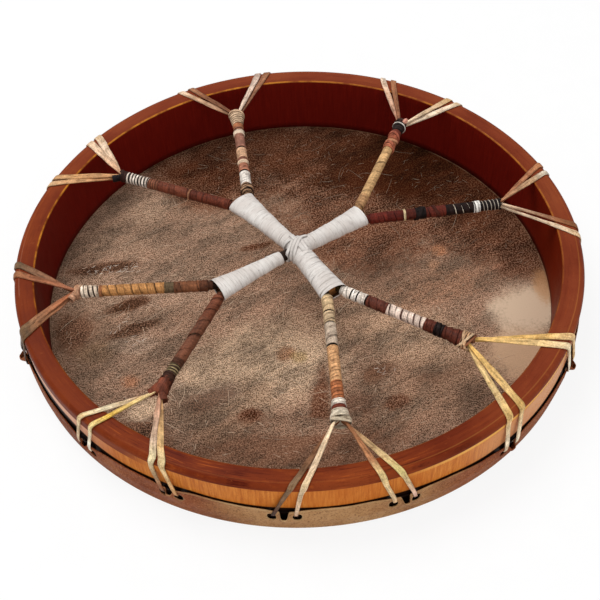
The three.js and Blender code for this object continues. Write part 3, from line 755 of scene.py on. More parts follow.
def smooth_side():
    """The outside of the hide and its hem: scraped smooth, and tan. The tint marks the cut edge, which is paler
    at the front: partly its own colour, partly painted highlight.
    """
    n = Nodes("hide_smooth_side")
    _, height, bearing = n.polar()
    face = n.mix(0.5, marked(n, (160, 124, 96), MARKINGS + BALD), (190, 154, 116))
    cloud = n.noise(n.place, 18.0, 4.0, 0.62)
    hem = n.ramp(cloud, (0.3, 108, 50, 28), (0.5, 136, 74, 43), (0.7, 154, 94, 60))
    tan = n.ramp(cloud, (0.3, 136, 88, 52), (0.5, 170, 127, 84), (0.7, 184, 144, 102))
    hem = n.mix(n.facing(bearing, -86, 26, 10), hem, tan)
    color = n.mix(n.step(height, 0.0005, 0.006), face, hem)
    grain = n.noise(n.place, 640.0, 3.0, 0.65)
    color = n.mix(n.step(grain, 0.5, 0.32, 0.0, 0.6), color, (70, 34, 18))
    color = n.mix(n.step(grain, 0.55, 0.72, 0.0, 0.35), color, (206, 158, 112))
    # the pale cut edge at the front: partly its own paler colour, partly painted highlight
    front = n.facing(bearing, -88, 34, 14)
    cut = n.times(n.tint_parts()[0], n.step(cloud, 0.35, 0.6, 0.2, 0.7), front)
    color = n.mix(cut, color, (190, 160, 116))
    pores = n.noise(n.place, 210.0, 3.0, 0.6)
    return n.finish(color, n.step(pores, 0.3, 0.7, 0.55, 0.72), 0.08, pores, 0.3, 0.0006)


def tinted(name, roughness, dark, light, bump):
    """A strip's finish: its own tint, with streaks along it, a fine grain and worn or stained patches."""
    n = Nodes(name)
    color = n.tint()
    stained, worn = n.scaled(color, *dark), n.scaled(color, *light)
    patch = n.noise(n.strip(0.17, 0.3), 1.0, 4.0, 0.65)
    color = n.mix(n.step(patch, 0.48, 0.3), color, stained)
    color = n.mix(n.step(patch, 0.54, 0.74), color, worn)
    streak, grain = n.noise(n.strip(0.1, 1.5), 1.0, 3.0, 0.6), n.noise(n.place, 900.0, 3.0, 0.65)
    fibre = n.total(0.0, (streak, 0.6), (grain, 0.4))
    color = n.shaded(color, n.step(fibre, 0.38, 0.6, 0.68, 1.18))
    speck = n.noise(n.place, 620.0, 4.0, 0.9)
    color = n.shaded(color, n.step(speck, 0.4, 0.6, 0.87, 1.11))
    return n.finish(color, roughness, 0.1, fibre, bump, 0.0005)


def cotton_finish():
    """White cotton tape: a fine weave, and faint creases along it, with painted shade in their hollows."""
    n = Nodes("cotton_tape")
    cloud = n.noise(n.place, 60.0, 4.0, 0.6)
    crease = n.noise(n.strip(0.06, 0.7), 1.0, 4.0, 0.7, 1.2)
    color = n.mix(n.step(cloud, 0.35, 0.7), (218, 209, 202), (234, 228, 222))
    # painted shade: grey in the hollows of the creases
    color = n.mix(n.step(crease, 0.5, 0.3, 0.0, 0.6), color, (172, 162, 154))
    dirt = n.noise(n.place, 230.0, 4.0, 0.7)
    color = n.mix(n.step(dirt, 0.64, 0.74, 0.0, 0.5), color, (140, 136, 136))
    color = n.mix(1.0, color, n.tint(), "MULTIPLY")
    relief = n.total(crease, (n.noise(n.place, 1500.0, 2.0, 0.5), 0.3))
    return n.finish(color, 0.9, 0.05, relief, 0.6, 0.0012)


WOOD = hoop_finish()
HAIR_SIDE = hair_side()
SMOOTH_SIDE = smooth_side()
RAWHIDE = tinted("rawhide_lace", 0.5, (0.62, 0.52, 0.42), (1.16, 1.2, 1.24), 0.3)
LEATHER = tinted("wrapping_lace", 0.52, (0.45, 0.4, 0.38), (1.5, 1.55, 1.6), 0.45)
COTTON = cotton_finish()


# Hoop and drumhead


def arc(centre, radius, start, stop, steps):
    angle = np.radians(np.linspace(start, stop, steps + 1))
    return [(centre[0] + radius * math.cos(a), centre[1] + radius * math.sin(a)) for a in angle]


def turned(profile, bearing):
    """The radius and height of a closed profile at each bearing."""
    profile = np.asarray(profile, float)
    radius = np.broadcast_to(profile[:, 0], (len(bearing), len(profile))).copy()
    height = np.broadcast_to(profile[:, 1], (len(bearing), len(profile))).copy()
    return bearing[:, None], np.radians(bearing)[:, None], radius, height


# How far up from the hem's edge the wall is painted dark, as painted shade behind the hem: bearing and
# millimetres
SHADE_EDGE = [
    (-180, 9), (-150, 9), (-139, 7), (-133, 3.5), (-126, 1), (-118, 0.1), (-60, 0.1), (-52, 0.8), (-42, 2.2),
    (-30, 3.5), (-15, 5), (20, 7), (180, 9),
]


def make_hoop():
    shoulder = RIM_TOP - RIM_ROUND
    outer_low = HOOP_BASE + BEARING_ROUND
    behind_hem = [(HOOP_RADIUS, z) for z in (10, 18, HEM_HEIGHT)]
    above_hem = [(HOOP_RADIUS, z) for z in (HEM_HEIGHT + 1, HEM_HEIGHT + 2, shoulder - 0.4)]
    inner_high = RIM_TOP - RIM_EASE
    inner_wall = [(INNER_RADIUS, z) for z in np.linspace(inner_high, HOOP_BASE, 9)[1:-1]]
    over = arc((HOOP_RADIUS - RIM_ROUND, shoulder), RIM_ROUND, 0, 90, 10)
    top = [(HOOP_RADIUS - RIM_ROUND - back, RIM_TOP) for back in (0.6, 4, 8)]
    eased = arc((INNER_RADIUS + RIM_EASE, inner_high), RIM_EASE, 90, 180, 8)
    # the red mask is painted shade on the outer wall below the hem's edge, and on the eased inner edge its
    # golden line, worn-off stain with a painted highlight
    honey, dark, stain, maroon = (0, 0, 0), (1, 0, 0), (0, 1, 0), (0, 0, 1)
    parts = [
        ([(INNER_RADIUS, HOOP_BASE), (INNER_RADIUS + 8, HOOP_BASE)], maroon),
        (arc((HOOP_RADIUS - BEARING_ROUND, outer_low), BEARING_ROUND, -90, 0, 4), dark),
        (behind_hem, dark),
        (above_hem, honey),
        (over[:-1], stain),
        (over[-1:], (0, 0.85, 0)),
        (top, stain),
        (eased[:2], stain),
        (eased[2:3], (0.5, 1, 0)),
        (eased[3:6], (1, 1, 0)),
        (eased[6:7], (0.6, 1, 0.4)),
        (eased[7:], maroon),
        (inner_wall, maroon),
    ]
    profile = [point for points, _ in parts for point in points]
    masks = np.array([mask for points, mask in parts for _ in points], float)
    bearing, angle, radius, height = turned(profile, ROUND)
    # the painted shade reaches to just over the hem's edge, higher where the table above says
    rise = np.interp((bearing[:, 0] + 180) % 360 - 180, *zip(*SHADE_EDGE))
    edge = hem_height(bearing[:, 0], HEM_HEIGHT) + rise
    fade = edge + 0.9 + 0.3 * rise
    at = profile.index((HOOP_RADIUS, HEM_HEIGHT))
    height[:, at : at + 3] = np.stack([edge, fade, (fade + shoulder) / 2], 1)
    radius += 0.2 * wave(bearing, 3, (120, 72, 45, 30))
    height += 0.16 * wave(bearing, 4, (90, 60, 24)) * smooth_step(30, RIM_TOP, height)
    points = np.stack([radius * np.cos(angle), radius * np.sin(angle), height], -1)
    shape = Shape()
    shape.loft(points, masks[None], round_trip=True)
    shape.make("hoop_bentwood", [WOOD], "hoop_wood", "hoop")


SLOT_OUTLINE = [(-3.6, -8.0), (-3.6, 1.4), (3.6, 1.4), (3.6, -8.0)]
SLOT_CUT = 2.6  # how far in and out of the hem's middle a slot is cut


def cut_slots(piece):
    """Pierces the hem where the laces go in."""
    cutters = Shape()
    outline = rounded(SLOT_OUTLINE, 2)
    for strands in LEGS.values():
        for strand, other in (strands, strands[::-1]):
            bearing = strand.slot + math.degrees(math.copysign(1.0, strand.slot - other.slot) / HOOP_RADIUS)
            radial, tangent = outward(bearing), left_of(outward(bearing))
            middle = HEM_INNER + SKIN / 2 + pucker(bearing, SLOT_HEIGHT)
            rings = []
            for reach in (-SLOT_CUT, SLOT_CUT):
                centre = radial * (middle + reach) + UP * hem_height(bearing, SLOT_HEIGHT)
                rings.append([centre + tangent * x + UP * y for x, y in outline])
            cutters.loft(rings, np.zeros(3))
    cutter = cutters.make("slot_cutter", [SMOOTH_SIDE], "drumhead_hide")
    cut = piece.modifiers.new("slots", "BOOLEAN")
    cut.object = cutter
    cut.operation = "DIFFERENCE"
    cut.solver = "EXACT"
    done = bpy.data.meshes.new_from_object(piece.evaluated_get(bpy.context.evaluated_depsgraph_get()))
    piece.modifiers.clear()
    piece.data = done
    bpy.data.objects.remove(cutter)


def skin_profile():
    """The skin's section from the centre of its playing face, up the hem and back to the centre inside."""
    bend = (HOOP_RADIUS - BEARING_ROUND, HOOP_BASE + BEARING_ROUND)
    inner_bend = BEARING_ROUND + FIT
    hem_outer = HEM_INNER + SKIN
    disc = [4, 30, 60, 90, 120, 145, 170, 190, 205, 216, 224, 229, 231.5, 240]
    hem = np.linspace(HEM_FLARE_START, HEM_FLARE_END, 4)
    lean = smooth_step(HEM_FLARE_START, HEM_FLARE_END, hem)
    upper = np.linspace(HEM_FLARE_END, HEM_HEIGHT, 9)[1:-1]
    against = HOOP_RADIUS + FIT
    outside = [(against + SKIN + share * (HEM_INNER - against), z) for share, z in zip(lean, hem)]
    inside = [(r - SKIN, z) for r, z in outside]
    return [
        *[(r, 0) for r in disc],
        *arc(bend, inner_bend + SKIN, -90, 0, 5),
        *outside,
        *[(hem_outer, z) for z in upper],
        *arc((HEM_INNER + SKIN / 2, HEM_HEIGHT - SKIN / 2), SKIN / 2, 0, 180, 4),
        *[(HEM_INNER, z) for z in upper[::-1]],
        *inside[::-1],
        *arc(bend, inner_bend, 0, -90, 5),
        *[(r, SKIN) for r in disc[::-1]],
    ]


def slack(x, y):
    """How far the inside of the skin stands off from flat."""
    swell = wave(x + 0.4 * y, 9, (140, 87, 52)) + wave(y - 0.3 * x, 10, (120, 70)) + 1.2
    return 0.25 * swell * smooth_step(228, 150, np.hypot(x, y))


def make_drumhead():
    profile = skin_profile()
    near_fold = np.linspace(-1.8, 1.8, 29)
    bearing = np.concatenate([ROUND, *(at + near_fold for at, _ in PULLS)])
    bearing = np.unique(np.round(bearing % 360 * 20)) / 20
    bearing, angle, radius, height = turned(profile, bearing[bearing < 360])
    on_hem = radius > HOOP_RADIUS
    cut_edge = ((height > HEM_HEIGHT - 1.2) * on_hem)[..., None] * np.ones(3)
    radius += pucker(bearing, height) * on_hem
    hem_share = smooth_step(HEM_FLARE_START, HEM_HEIGHT, height) * on_hem
    radius += hem_share * 0.25 * (1 + wave(bearing, 8, (60, 36, 20, 8)))
    dip = 0.9 * fold(bearing) * smooth_step(18, HEM_HEIGHT, height)
    height = np.where(on_hem, hem_height(bearing, height) - dip, height)
    height += hem_share * 0.6 * wave(bearing, 7, (40, 24, 15, 9, 6))
    x, y = radius * np.cos(angle), radius * np.sin(angle)
    height += slack(x, y) * (height > SKIN / 2)
    shape = Shape()
    shape.loft(np.stack([x, y, height], -1), cut_edge, round_trip=True)
    close_centre(shape, len(profile), len(bearing))
    piece = shape.make("drumhead_skin", [SMOOTH_SIDE, HAIR_SIDE], "drumhead_hide", "drumhead")
    cut_slots(piece)
    for face in piece.data.polygons:
        centre = face.center / MM
        hairy = face.normal.z > 0.5 and centre.z > SKIN / 2 and centre.xy.length < HOOP_RADIUS - BEARING_ROUND
        face.material_index = int(hairy)
        face.use_smooth = True
    return piece


def close_centre(shape, corners, sides):
    """Fills both faces of the skin at its centre, in place of the wall that joins them there."""
    shape.faces = [face for face in shape.faces if {c % corners for c in face} != {0, corners - 1}]
    shape.points.append(np.array([[0.0, 0.0, 0.0], [0.0, 0.0, SKIN + 0.3]]))
    shape.tints.append(np.zeros((2, 3)))
    shape.strips.append(np.zeros((2, 3)))
    below, above = shape.size, shape.size + 1
    for side in range(sides):
        a, b = side * corners, (side + 1) % sides * corners
        shape.faces.append([below, b, a])
        shape.faces.append([above, a + corners - 1, b + corners - 1])


make_hoop()
drumhead = make_drumhead()


# Laces: colours of the two strands of each leg, the one nearer the other leg first, from the fork over
# the rim to the hem. Where two are left out, the strand ends in brown, and in dark, which is painted shade in
# its slot.
CREAM = (228, 200, 164)
TAN = (206, 158, 106)
BROWN = (146, 94, 62)
# painted shade at a strand's end, by and in its slot behind the hem
DARK = (84, 58, 42)
GOLD = (222, 176, 98)
RED = (164, 94, 60)
LACE_COLORS = {
    "1a": (
        ((188, 138, 96), (194, 146, 98), (188, 144, 100)),
        ((184, 132, 92), (200, 154, 110), (206, 166, 124)),
    ),
    "1b": (
        ((198, 150, 112), (220, 188, 158), (216, 184, 152)),
        ((206, 164, 128), (226, 198, 170), (210, 180, 146)),
    ),
    "2a": (((112, 70, 48), (130, 84, 58), (156, 110, 80)), ((140, 96, 70), (194, 156, 124), (212, 184, 156))),
    "2b": (
        ((214, 188, 166), (204, 178, 160), (184, 158, 142)),
        ((152, 106, 82), (148, 102, 76), (140, 94, 66)),
    ),
    "3a": (((132, 86, 62), (146, 96, 66), (158, 106, 74)), ((168, 112, 86), (214, 178, 150), (226, 202, 178))),
    "3b": (
        ((218, 192, 162), (208, 174, 136), (196, 160, 112)),
        ((220, 194, 166), (226, 204, 178), (220, 194, 160)),
    ),
    "4a": (
        ((164, 114, 82), (180, 146, 112), (208, 194, 172)),
        ((160, 104, 74), (170, 114, 80), (166, 110, 74)),
    ),
    "4b": (((214, 184, 154), BROWN, (128, 82, 52)), ((222, 196, 168), (218, 192, 162), (208, 176, 138))),
    "5a": (
        (GOLD, (226, 190, 134), (230, 204, 160), (240, 228, 206), CREAM),
        (GOLD, (214, 172, 106), (220, 184, 132), (216, 182, 126), TAN),
    ),
    "5b": (
        (GOLD, (216, 178, 118), (200, 160, 94), (232, 212, 182), CREAM),
        ((224, 188, 128), (216, 184, 130), (206, 168, 104), (236, 216, 188), CREAM),
    ),
    "6a": (
        (BROWN, (176, 122, 84), (212, 184, 128), (210, 180, 142), TAN),
        (BROWN, (206, 176, 126), (206, 186, 120), (204, 166, 146), BROWN),
    ),
    "6b": (
        (CREAM, (220, 190, 156), (214, 186, 146), (206, 174, 144), BROWN),
        (BROWN, (112, 80, 56), (134, 106, 78), (84, 56, 42), DARK),
    ),
    "7a": (
        ((176, 120, 92), (198, 168, 142), (214, 196, 152)),
        ((206, 158, 112), (212, 172, 118), (218, 194, 146), TAN, BROWN),
    ),
    "7b": (
        ((228, 200, 152), (214, 172, 70), (224, 194, 124), (240, 230, 212), CREAM),
        ((186, 140, 104), (230, 210, 172), (218, 190, 140), (210, 184, 152), BROWN),
    ),
    "8a": (
        (RED, (150, 104, 72), (112, 84, 58), DARK, DARK),
        ((160, 108, 80), (140, 94, 62), (104, 78, 54), DARK, DARK),
    ),
    "8b": (((160, 102, 74), (146, 90, 60), (144, 94, 62)), ((150, 92, 62), (128, 92, 66), (100, 78, 56))),
}
# How many times wider than usual each leg's laces were cut
LACE_WIDTHS = {
    "1a": 1.25, "1b": 1.5, "2a": 1.1, "2b": 1.25, "3a": 1.1, "3b": 1.2, "4a": 1.15, "4b": 1.1,
    "5a": 1.3, "5b": 1.25, "6a": 1.05, "6b": 0.95, "7a": 1.1, "7b": 0.88, "8a": 1.5, "8b": 1.3,
}
# How far aside a leg's strands come out of the fork's knot
FORK_EXITS = {"3b": 3.0, "5a": 1.0, "5b": 1.0, "6a": 2.6, "6b": 4.0}


def make_laces():
    for number, line in enumerate(LINES, 1):
        for which, letter in enumerate("ab"):
            name = f"{number}{letter}"
            shape, ends = Shape(), []
            for strand, colors in zip(LEGS[name], LACE_COLORS[name]):
                width, aside = LACE_WIDTH * LACE_WIDTHS[name], FORK_EXITS.get(name, 0.0)
                edge = SHARP_EDGE if number in PULLED_TIGHT else EDGE_ROUND
                stations = strand_route(line, which, strand, width, aside, edge)
                seed = number * 20 + which * 10 + strand.tier
                ends.append(lace(shape, stations, [tone(*c) for c in (*colors, BROWN, DARK)[:5]], seed))
            across = unit(ends[1] - ends[0])
            radial = unit((ends[0] + ends[1]) * [1, 1, 0])
            bight = [
                np.concatenate([end, radial * LACE_THICKNESS * 0.5, UP * 1.0])
                for end in (ends[0] - across * 2, ends[1] + across * 2)
            ]
            _, rows, _ = resample(bight, 1.5)
            x, y = LACE
            points = rows[:, None, 0:3] + x[..., None] * rows[:, None, 3:6] + y[..., None] * rows[:, None, 6:9]
            # painted shade: the bight behind the hem is near black
            shape.loft(points, tone(30, 18, 12))
            shape.make(f"lace_{name}", [RAWHIDE], "lace_rawhide", f"lace_loop_{name}")


make_laces()


# Spokes: where the first band starts, and the bands, each with its stop, pitch, colour, thickness and,
# where its turns lie apart, the share of the pitch that they cover and the colour that shows between them.
Band = namedtuple("Band", "start stop pitch color thickness cover under", defaults=(0.55, 1.1, None))
# the gap colour is painted shade in the gaps between bands and between turns
GAP_SHADE = (26, 15, 11)
SPOKES = {
    1: (4.6, [
        (30, 5.2, (104, 50, 34)), (44.8, 6.0, (92, 44, 30)), (46, 1.2, (170, 122, 90), 0.7),
        (78, 6.4, (114, 60, 42)), (89, 2.4, (128, 78, 56), 0.6, 0.8, (66, 36, 26)),
        (111.5, 3.2, (222, 206, 190), 0.75, 0.55, GAP_SHADE), (117.3, 2.6, (52, 30, 24), 0.7),
    ]),
    2: (4.4, [
        (16.8, 3.4, (172, 132, 100), 0.8, 0.55, (36, 24, 18)), (33.2, 9.5, (234, 224, 212), 0.6),
        (35.8, 2.6, GAP_SHADE, 0.15), (45.2, 5, (176, 116, 90), 0.5), (49.6, 4.4, (218, 188, 158), 0.75),
        (54.2, 4.8, (138, 88, 70), 0.45), (67.6, 7, (206, 162, 128), 0.6), (70.2, 2.6, GAP_SHADE, 0.15),
        (89.2, 6.4, (152, 104, 86), 0.5), (94.6, 5.4, (232, 208, 182), 0.85),
        (99.8, 2.6, (138, 90, 68), 0.6, 0.8, GAP_SHADE), (105, 5.2, (176, 112, 76), 0.6),
        (122.5, 2.9, (206, 174, 142), 0.7, 0.78, (92, 60, 44)),
    ]),
    3: (6.6, [
        (21.5, 3.7, (182, 138, 96), 0.3), (91.4, 14, (204, 162, 112), 0.22), (99, 3.8, (178, 104, 74), 0.7),
        (104.5, 5.5, (190, 128, 92), 0.4), (112, 3.7, (160, 88, 64), 0.75), (118.4, 3.2, (110, 52, 40), 0.5),
        (130.9, 3.1, (46, 34, 32), 0.8, 0.85, (14, 10, 10)),
    ]),
    4: (4.8, [
        (20, 5.0, (96, 34, 24)), (35.6, 5.6, (86, 29, 21)), (37.4, 1.8, (222, 200, 156), 0.7),
        (46.6, 4.4, (80, 32, 22)), (56, 4.7, (26, 17, 15), 0.8), (74.4, 6.2, (96, 38, 27), 0.6),
        (100.4, 6.4, (34, 20, 17), 0.6, 0.9, (206, 192, 172)), (106.2, 2.9, (240, 234, 226), 0.9, 0.8, GAP_SHADE),
        (123.2, 3.4, (176, 164, 148), 0.45, 0.18, (24, 17, 16)),
    ]),
    5: (4.2, [
        (10.4, 6.2, (236, 222, 208)), (11.8, 1.4, GAP_SHADE, 0.15), (16.2, 4.4, (238, 228, 216)),
        (17.6, 1.4, GAP_SHADE, 0.15), (24.4, 6.8, (232, 218, 204)), (26, 1.6, GAP_SHADE, 0.15), (45, 6.6, (96, 50, 38)),
        (78.9, 5.6, (234, 208, 190), 0.6, 0.84, (84, 50, 40)), (88, 4.6, (92, 44, 32), 0.8),
        (95.5, 3.8, (34, 22, 20), 1.0), (112, 5.6, (88, 42, 30), 0.8),
        (117.5, 2.4, (196, 152, 114), 0.8, 0.6, (70, 40, 30)),
    ]),
    6: (2.4, [
        (18.2, 8, (212, 180, 138)), (20, 1.8, GAP_SHADE, 0.15), (30.4, 6, (214, 184, 146)), (31.8, 1.4, GAP_SHADE, 0.15),
        (53.6, 11, (200, 178, 156)), (55.6, 2.0, GAP_SHADE, 0.15), (90.5, 3.4, (214, 162, 114), 0.4),
        (108, 3.3, (178, 108, 68), 0.6, 0.86, (96, 50, 34)), (113, 2.6, (236, 222, 206), 0.9),
        (117, 2.2, (128, 62, 46), 0.6), (124, 3.4, (206, 190, 166), 0.8),
    ]),
    7: (4.6, [
        (30, 12.5, (116, 66, 46)), (76, 15.5, (118, 72, 52)), (82, 3.2, (84, 52, 38), 0.5),
        (91, 2.6, (136, 118, 84), 0.5, 0.4, (62, 44, 34)), (98, 5, (64, 38, 28), 0.6),
    ]),
    8: (4.4, [
        (11.6, 3.6, (92, 54, 36), 0.6), (26.2, 7.3, (132, 82, 54)), (33.6, 7.4, (120, 76, 52)),
        (41.8, 4.1, (98, 80, 58), 0.45), (95, 6.6, (190, 134, 80), 0.5, 0.97, (84, 52, 32)),
        (98, 3, (150, 96, 62)), (113.4, 3.9, (222, 200, 176), 0.75, 0.72, (62, 40, 30)),
        (118.5, 2.6, (190, 142, 110), 0.8),
    ]),
}
# How much wider and higher each winding grows towards its fork
FLARES = [(0.4, 0.2), (2.2, 1.2), (0.8, 0.4), (0.6, 0.3), (3.4, 1.2), (2.6, 0.8), (2.0, 0.6), (1.0, 0.5)]
# Collars round the beginnings of the two legs: length, colour and thickness, or none
COLLARS = {
    1: ((9, (24, 18, 20), 0.7), (4.5, (66, 38, 28), 0.7)),
    2: ((3.4, (170, 112, 82), 0.7), None),
    3: ((4, (70, 44, 36), 0.6), None),
    4: ((3.2, (34, 26, 24), 0.7), (3.2, (30, 24, 22), 0.7)),
    5: ((6, (132, 82, 54), 0.7), (3, (110, 64, 44), 0.6)),
    6: (None, None),
    7: ((10, (104, 56, 40), 0.8), (8, (126, 66, 46), 0.8)),
    8: ((8.5, (190, 142, 112), 0.8), None),
}
# Turns that cross over a spoke: distance along it, slant, width, half width, half height, colour and how
# far they lie to the side
CROSSINGS = {
    2: [
        (8, 2.4, 2.0, 5.3, 5.3, (44, 30, 24)), (12, -2.2, 2.2, 5.3, 5.3, (186, 146, 112)),
        (121.5, 1.6, 3.0, 7.2, 6.2, (214, 178, 144)),
    ],
    3: [
        (95, 3.2, 3.6, 5.2, 5.2, (186, 108, 80)), (103, -3.0, 3.4, 5.0, 5.0, (204, 142, 106)),
        (110, 3.0, 3.4, 5.4, 5.4, (172, 94, 72)), (127, 0.8, 1.3, 6.0, 5.6, (232, 224, 212)),
        (133, 1.0, 3.2, 5.0, 5.0, (70, 46, 38)),
    ],
    4: [(50, 3.0, 4.4, 5.2, 5.2, (30, 20, 18)), (66, -2.6, 3.0, 5.2, 5.2, (74, 34, 24))],
    5: [
        (114, 4.4, 2.2, 7.4, 5.8, (222, 188, 150)), (116, -4.4, 2.2, 7.6, 5.8, (206, 166, 128)),
        (118, 3.4, 2.0, 7.6, 5.4, (134, 82, 54)),
    ],
    6: [
        (119.5, 1.8, 3.0, 5.6, 5.2, (214, 198, 174)), (122.4, -3.0, 3.6, 6.7, 5.4, (222, 206, 182), -0.4),
        (125.2, 3.2, 3.4, 7.3, 5.2, (200, 182, 156), 0.6), (127.4, -1.6, 2.8, 6.4, 4.6, (186, 168, 142), 1.6),
    ],
    8: [(113, 2.2, 2.4, 5.6, 5.4, (206, 164, 132)), (117, -2.4, 2.6, 6.0, 5.4, (182, 134, 104))],
}


UNDER_PITCH, UNDER_THICKNESS, UNDER_LIFT = 4.0, 0.22, 0.25  # of what shows between a band's turns
CROSSING_THICKNESS = 0.8


def make_spoke(number, line):
    wrap, whip = Shape(), Shape()
    side, top = FLARES[number - 1]

    def size(s):
        flare = smooth_step(line.length - 18, line.length + 2, s)
        return WINDING_INNER + side * flare, WINDING_INNER + top * flare

    change = line.length - WHIP_LENGTH
    start, rows = SPOKES[number]
    # painted shade: the first turns, inside the grip's mouth, are a darker copy of the first band
    collar = tone(*rows[0][2]) * 0.7
    wind(wrap, line.axis, 0.4, start + 0.4, 2.0, lambda s: (3.2, 3.2), 0.35, collar, seed=number)
    for k, row in enumerate(rows):
        band = Band(start, *row)
        start = band.stop
        shape = wrap if band.start < change - 4 else whip
        seed = number * 50 + k
        lift = 0.0
        if band.under:
            under = tone(*band.under)
            wind(shape, line.axis, band.start, band.stop, UNDER_PITCH, size, UNDER_THICKNESS, under, seed=seed)
            lift = UNDER_LIFT
        raised = lambda s, lift=lift: tuple(half + lift for half in size(s))
        wind(
            shape, line.axis, band.start, band.stop, band.pitch, raised, band.thickness,
            tone(*band.color), band.cover, seed=seed,
        )
    for at, slant, width, half_width, half_height, color, *shift in CROSSINGS.get(number, []):
        shape = wrap if at < change - 4 else whip
        half = half_width, half_height
        ring(shape, line.axis, at, width, half, CROSSING_THICKNESS, tone(*color), slant, *shift)
    for which, collar in enumerate(COLLARS[number]):
        if collar:
            make_collar(whip, line, which, *collar, number * 7 + which)
    if number == 7:
        make_web(whip, line)
    if number == 3:
        make_knob(whip, line)
    wrap.make(f"wrap_{number}", [LEATHER], "wrap_lace", f"spoke_wrap_{number}")
    whip.make(f"whipping_{number}", [LEATHER], "whipping_lace", f"fork_whipping_{number}")


def make_collar(shape, line, which, length, color, thickness, seed):
    """Turns round both strands of a leg, where it leaves the fork."""
    side = SIDES[which]
    start = line.fork + left_of(line.direction) * side * (BUNDLED_WIDTH + STRAND_GAP) / 2
    rim = outward(line.legs[which]) * INNER_RADIUS + UP * WEB_HEIGHT
    direction = unit(rim - start)
    axis = Axis(start, direction, left_of(direction))

    def size(s):
        spread = np.clip(s, 0, 20) / 20
        return 1.9 + 2.4 * spread, 2.8 - 0.9 * spread

    wind(shape, axis, -1.0, length, 2.6, size, thickness, tone(*color), 1.0, seed=seed)


def make_web(shape, line):
    """A patch of soft leather, folded round the fork."""
    angle = circle(36)[None]
    s = np.linspace(line.length - 12, line.length + 4, 12)[:, None]
    share = smooth_step(line.length - 10, line.length + 3, s)
    end = 1 - 0.3 * smooth_step(line.length + 1, line.length + 4, s)
    crease = 1 + 0.04 * np.sin(5 * angle + s / 2.5) + 0.03 * np.sin(9 * angle - s / 1.7)
    half_width = (5.4 + 2.4 * share) * end * crease
    half_height = (5.2 - 0.7 * share) * end * crease
    lit = 0.5 + 0.5 * smooth_step(-0.6, 0.5, -np.cos(angle))
    color = tone(126, 66, 46) * (lit * (1 + 0.2 * np.sin(s / 1.3 + 3 * angle)))[..., None]
    shape.loft(round_axis(line.axis, s, angle, half_width, half_height), color)


def make_knob(shape, line):
    """The lace's end, tucked up at the side of the fork."""
    centre = line.fork + line.direction * 1.5 - left_of(line.direction) * 4.2 + UP * 4.6
    tilt = unit(UP * 0.75 + line.direction * 0.4 - left_of(line.direction) * 0.5)
    across = unit(np.cross(UP, tilt))
    axis = Axis(centre, tilt, across, np.cross(tilt, across))
    s = np.linspace(-3.2, 3.2, 9)[:, None]
    angle = circle(16)[None]
    half = 2.3 * np.sqrt(np.clip(1 - (s / 3.6) ** 2, 0.05, 1)) * (1 + 0.08 * np.sin(3 * angle))
    points = round_axis(axis, s, angle, half, half)
    shape.loft(points, tone(226, 160, 138) * (1 + 0.1 * np.sin(2 * angle))[..., None])


for number, line in enumerate(LINES, 1):
    make_spoke(number, line)


# The cross


def arm_top(points):
    """How high the wound arms stand above the hub's level at some places."""
    best = np.zeros(len(points))
    for arm in ARMS:
        axis = arm_axis(arm)
        s, side = (points - HUB) @ axis.direction, (points - HUB) @ axis.across
        half_width, half_height = core_size(arm, np.clip(s, 0, arm[1]))
        inside = 1 - (side / (half_width + TAPE)) ** 2 - (np.minimum(s, 0) / (half_width + TAPE)) ** 2
        best = np.maximum(best, (half_height + TAPE) * np.sqrt(np.maximum(inside, 0)))
    return best


def hull(points):
    """The taut loop round some points of a plane, anticlockwise."""
    points = sorted(map(tuple, points))
    loops = []
    for order in (points, points[::-1]):
        chain = []
        for p in order:
            while len(chain) > 1 and cross(chain[-2], chain[-1], p) <= 0:
                chain.pop()
            chain.append(p)
        loops += chain[:-1]
    return np.array(loops)


def cross(a, b, c):
    return (b[0] - a[0]) * (c[1] - a[1]) - (b[1] - a[1]) * (c[0] - a[0])


LASH_REACH = 13.0
LASH_THICKNESS = 0.6
TAPE_THICKNESS = 0.36


def lash(shape, bearing, offset, width, lift, shade):
    """A strip of tape pulled tight round the hub in the direction of a bearing."""
    direction = outward(bearing)
    lateral = left_of(direction)
    x = np.linspace(-24, 24, 97)
    top = arm_top(HUB + x[:, None] * direction + offset * lateral)
    close = np.abs(x) < LASH_REACH
    x, top = x[close & (top > 1)], top[close & (top > 1)] + lift
    loop = hull(np.concatenate([np.stack([x, top], 1), np.stack([x, -top], 1)]))
    loop = np.concatenate([loop, loop[:1]])
    run = travelled(loop)
    at = np.linspace(0, run[-1], 72, endpoint=False)
    flat = along(at, run, loop)
    for _ in range(4):
        flat = 0.25 * np.roll(flat, 1, 0) + 0.5 * flat + 0.25 * np.roll(flat, -1, 0)
    ahead = np.roll(flat, -1, 0) - np.roll(flat, 1, 0)
    out = unit_rows(np.stack([ahead[:, 1], -ahead[:, 0]], 1))
    path = HUB + flat[:, :1] * direction + flat[:, 1:] * UP + lateral * offset
    normal = out[:, :1] * direction + out[:, 1:] * UP
    u, v = BAND
    points = path[:, None] + (u * width)[..., None] * lateral + (v * LASH_THICKNESS)[..., None] * normal[:, None]
    # painted shade: darker towards the strip's edges
    edge = 1 - 0.3 * smooth_step(0.3, 0.5, np.abs(u))
    shape.loft(points, np.ones(3) * (shade * edge)[..., None], round_trip=True)


def paint_mouth_shade(shape, arm):
    """Painted shade: a dark sleeve inside the tape, where it stands out over the core's end."""
    angle = circle(48)[:, None]
    s = arm[1] - np.array([[CORE_INSET + 0.5, 0.5, 0.5, CORE_INSET + 0.5]])
    half_width, half_height = core_size(arm, s)
    out = np.array([[0.38, 0.38, 0.1, 0.1]])
    points = round_axis(arm_axis(arm), s + 0 * angle, angle, half_width + out, half_height + out)
    shape.loft(points, tone(70, 46, 30), round_trip=True)


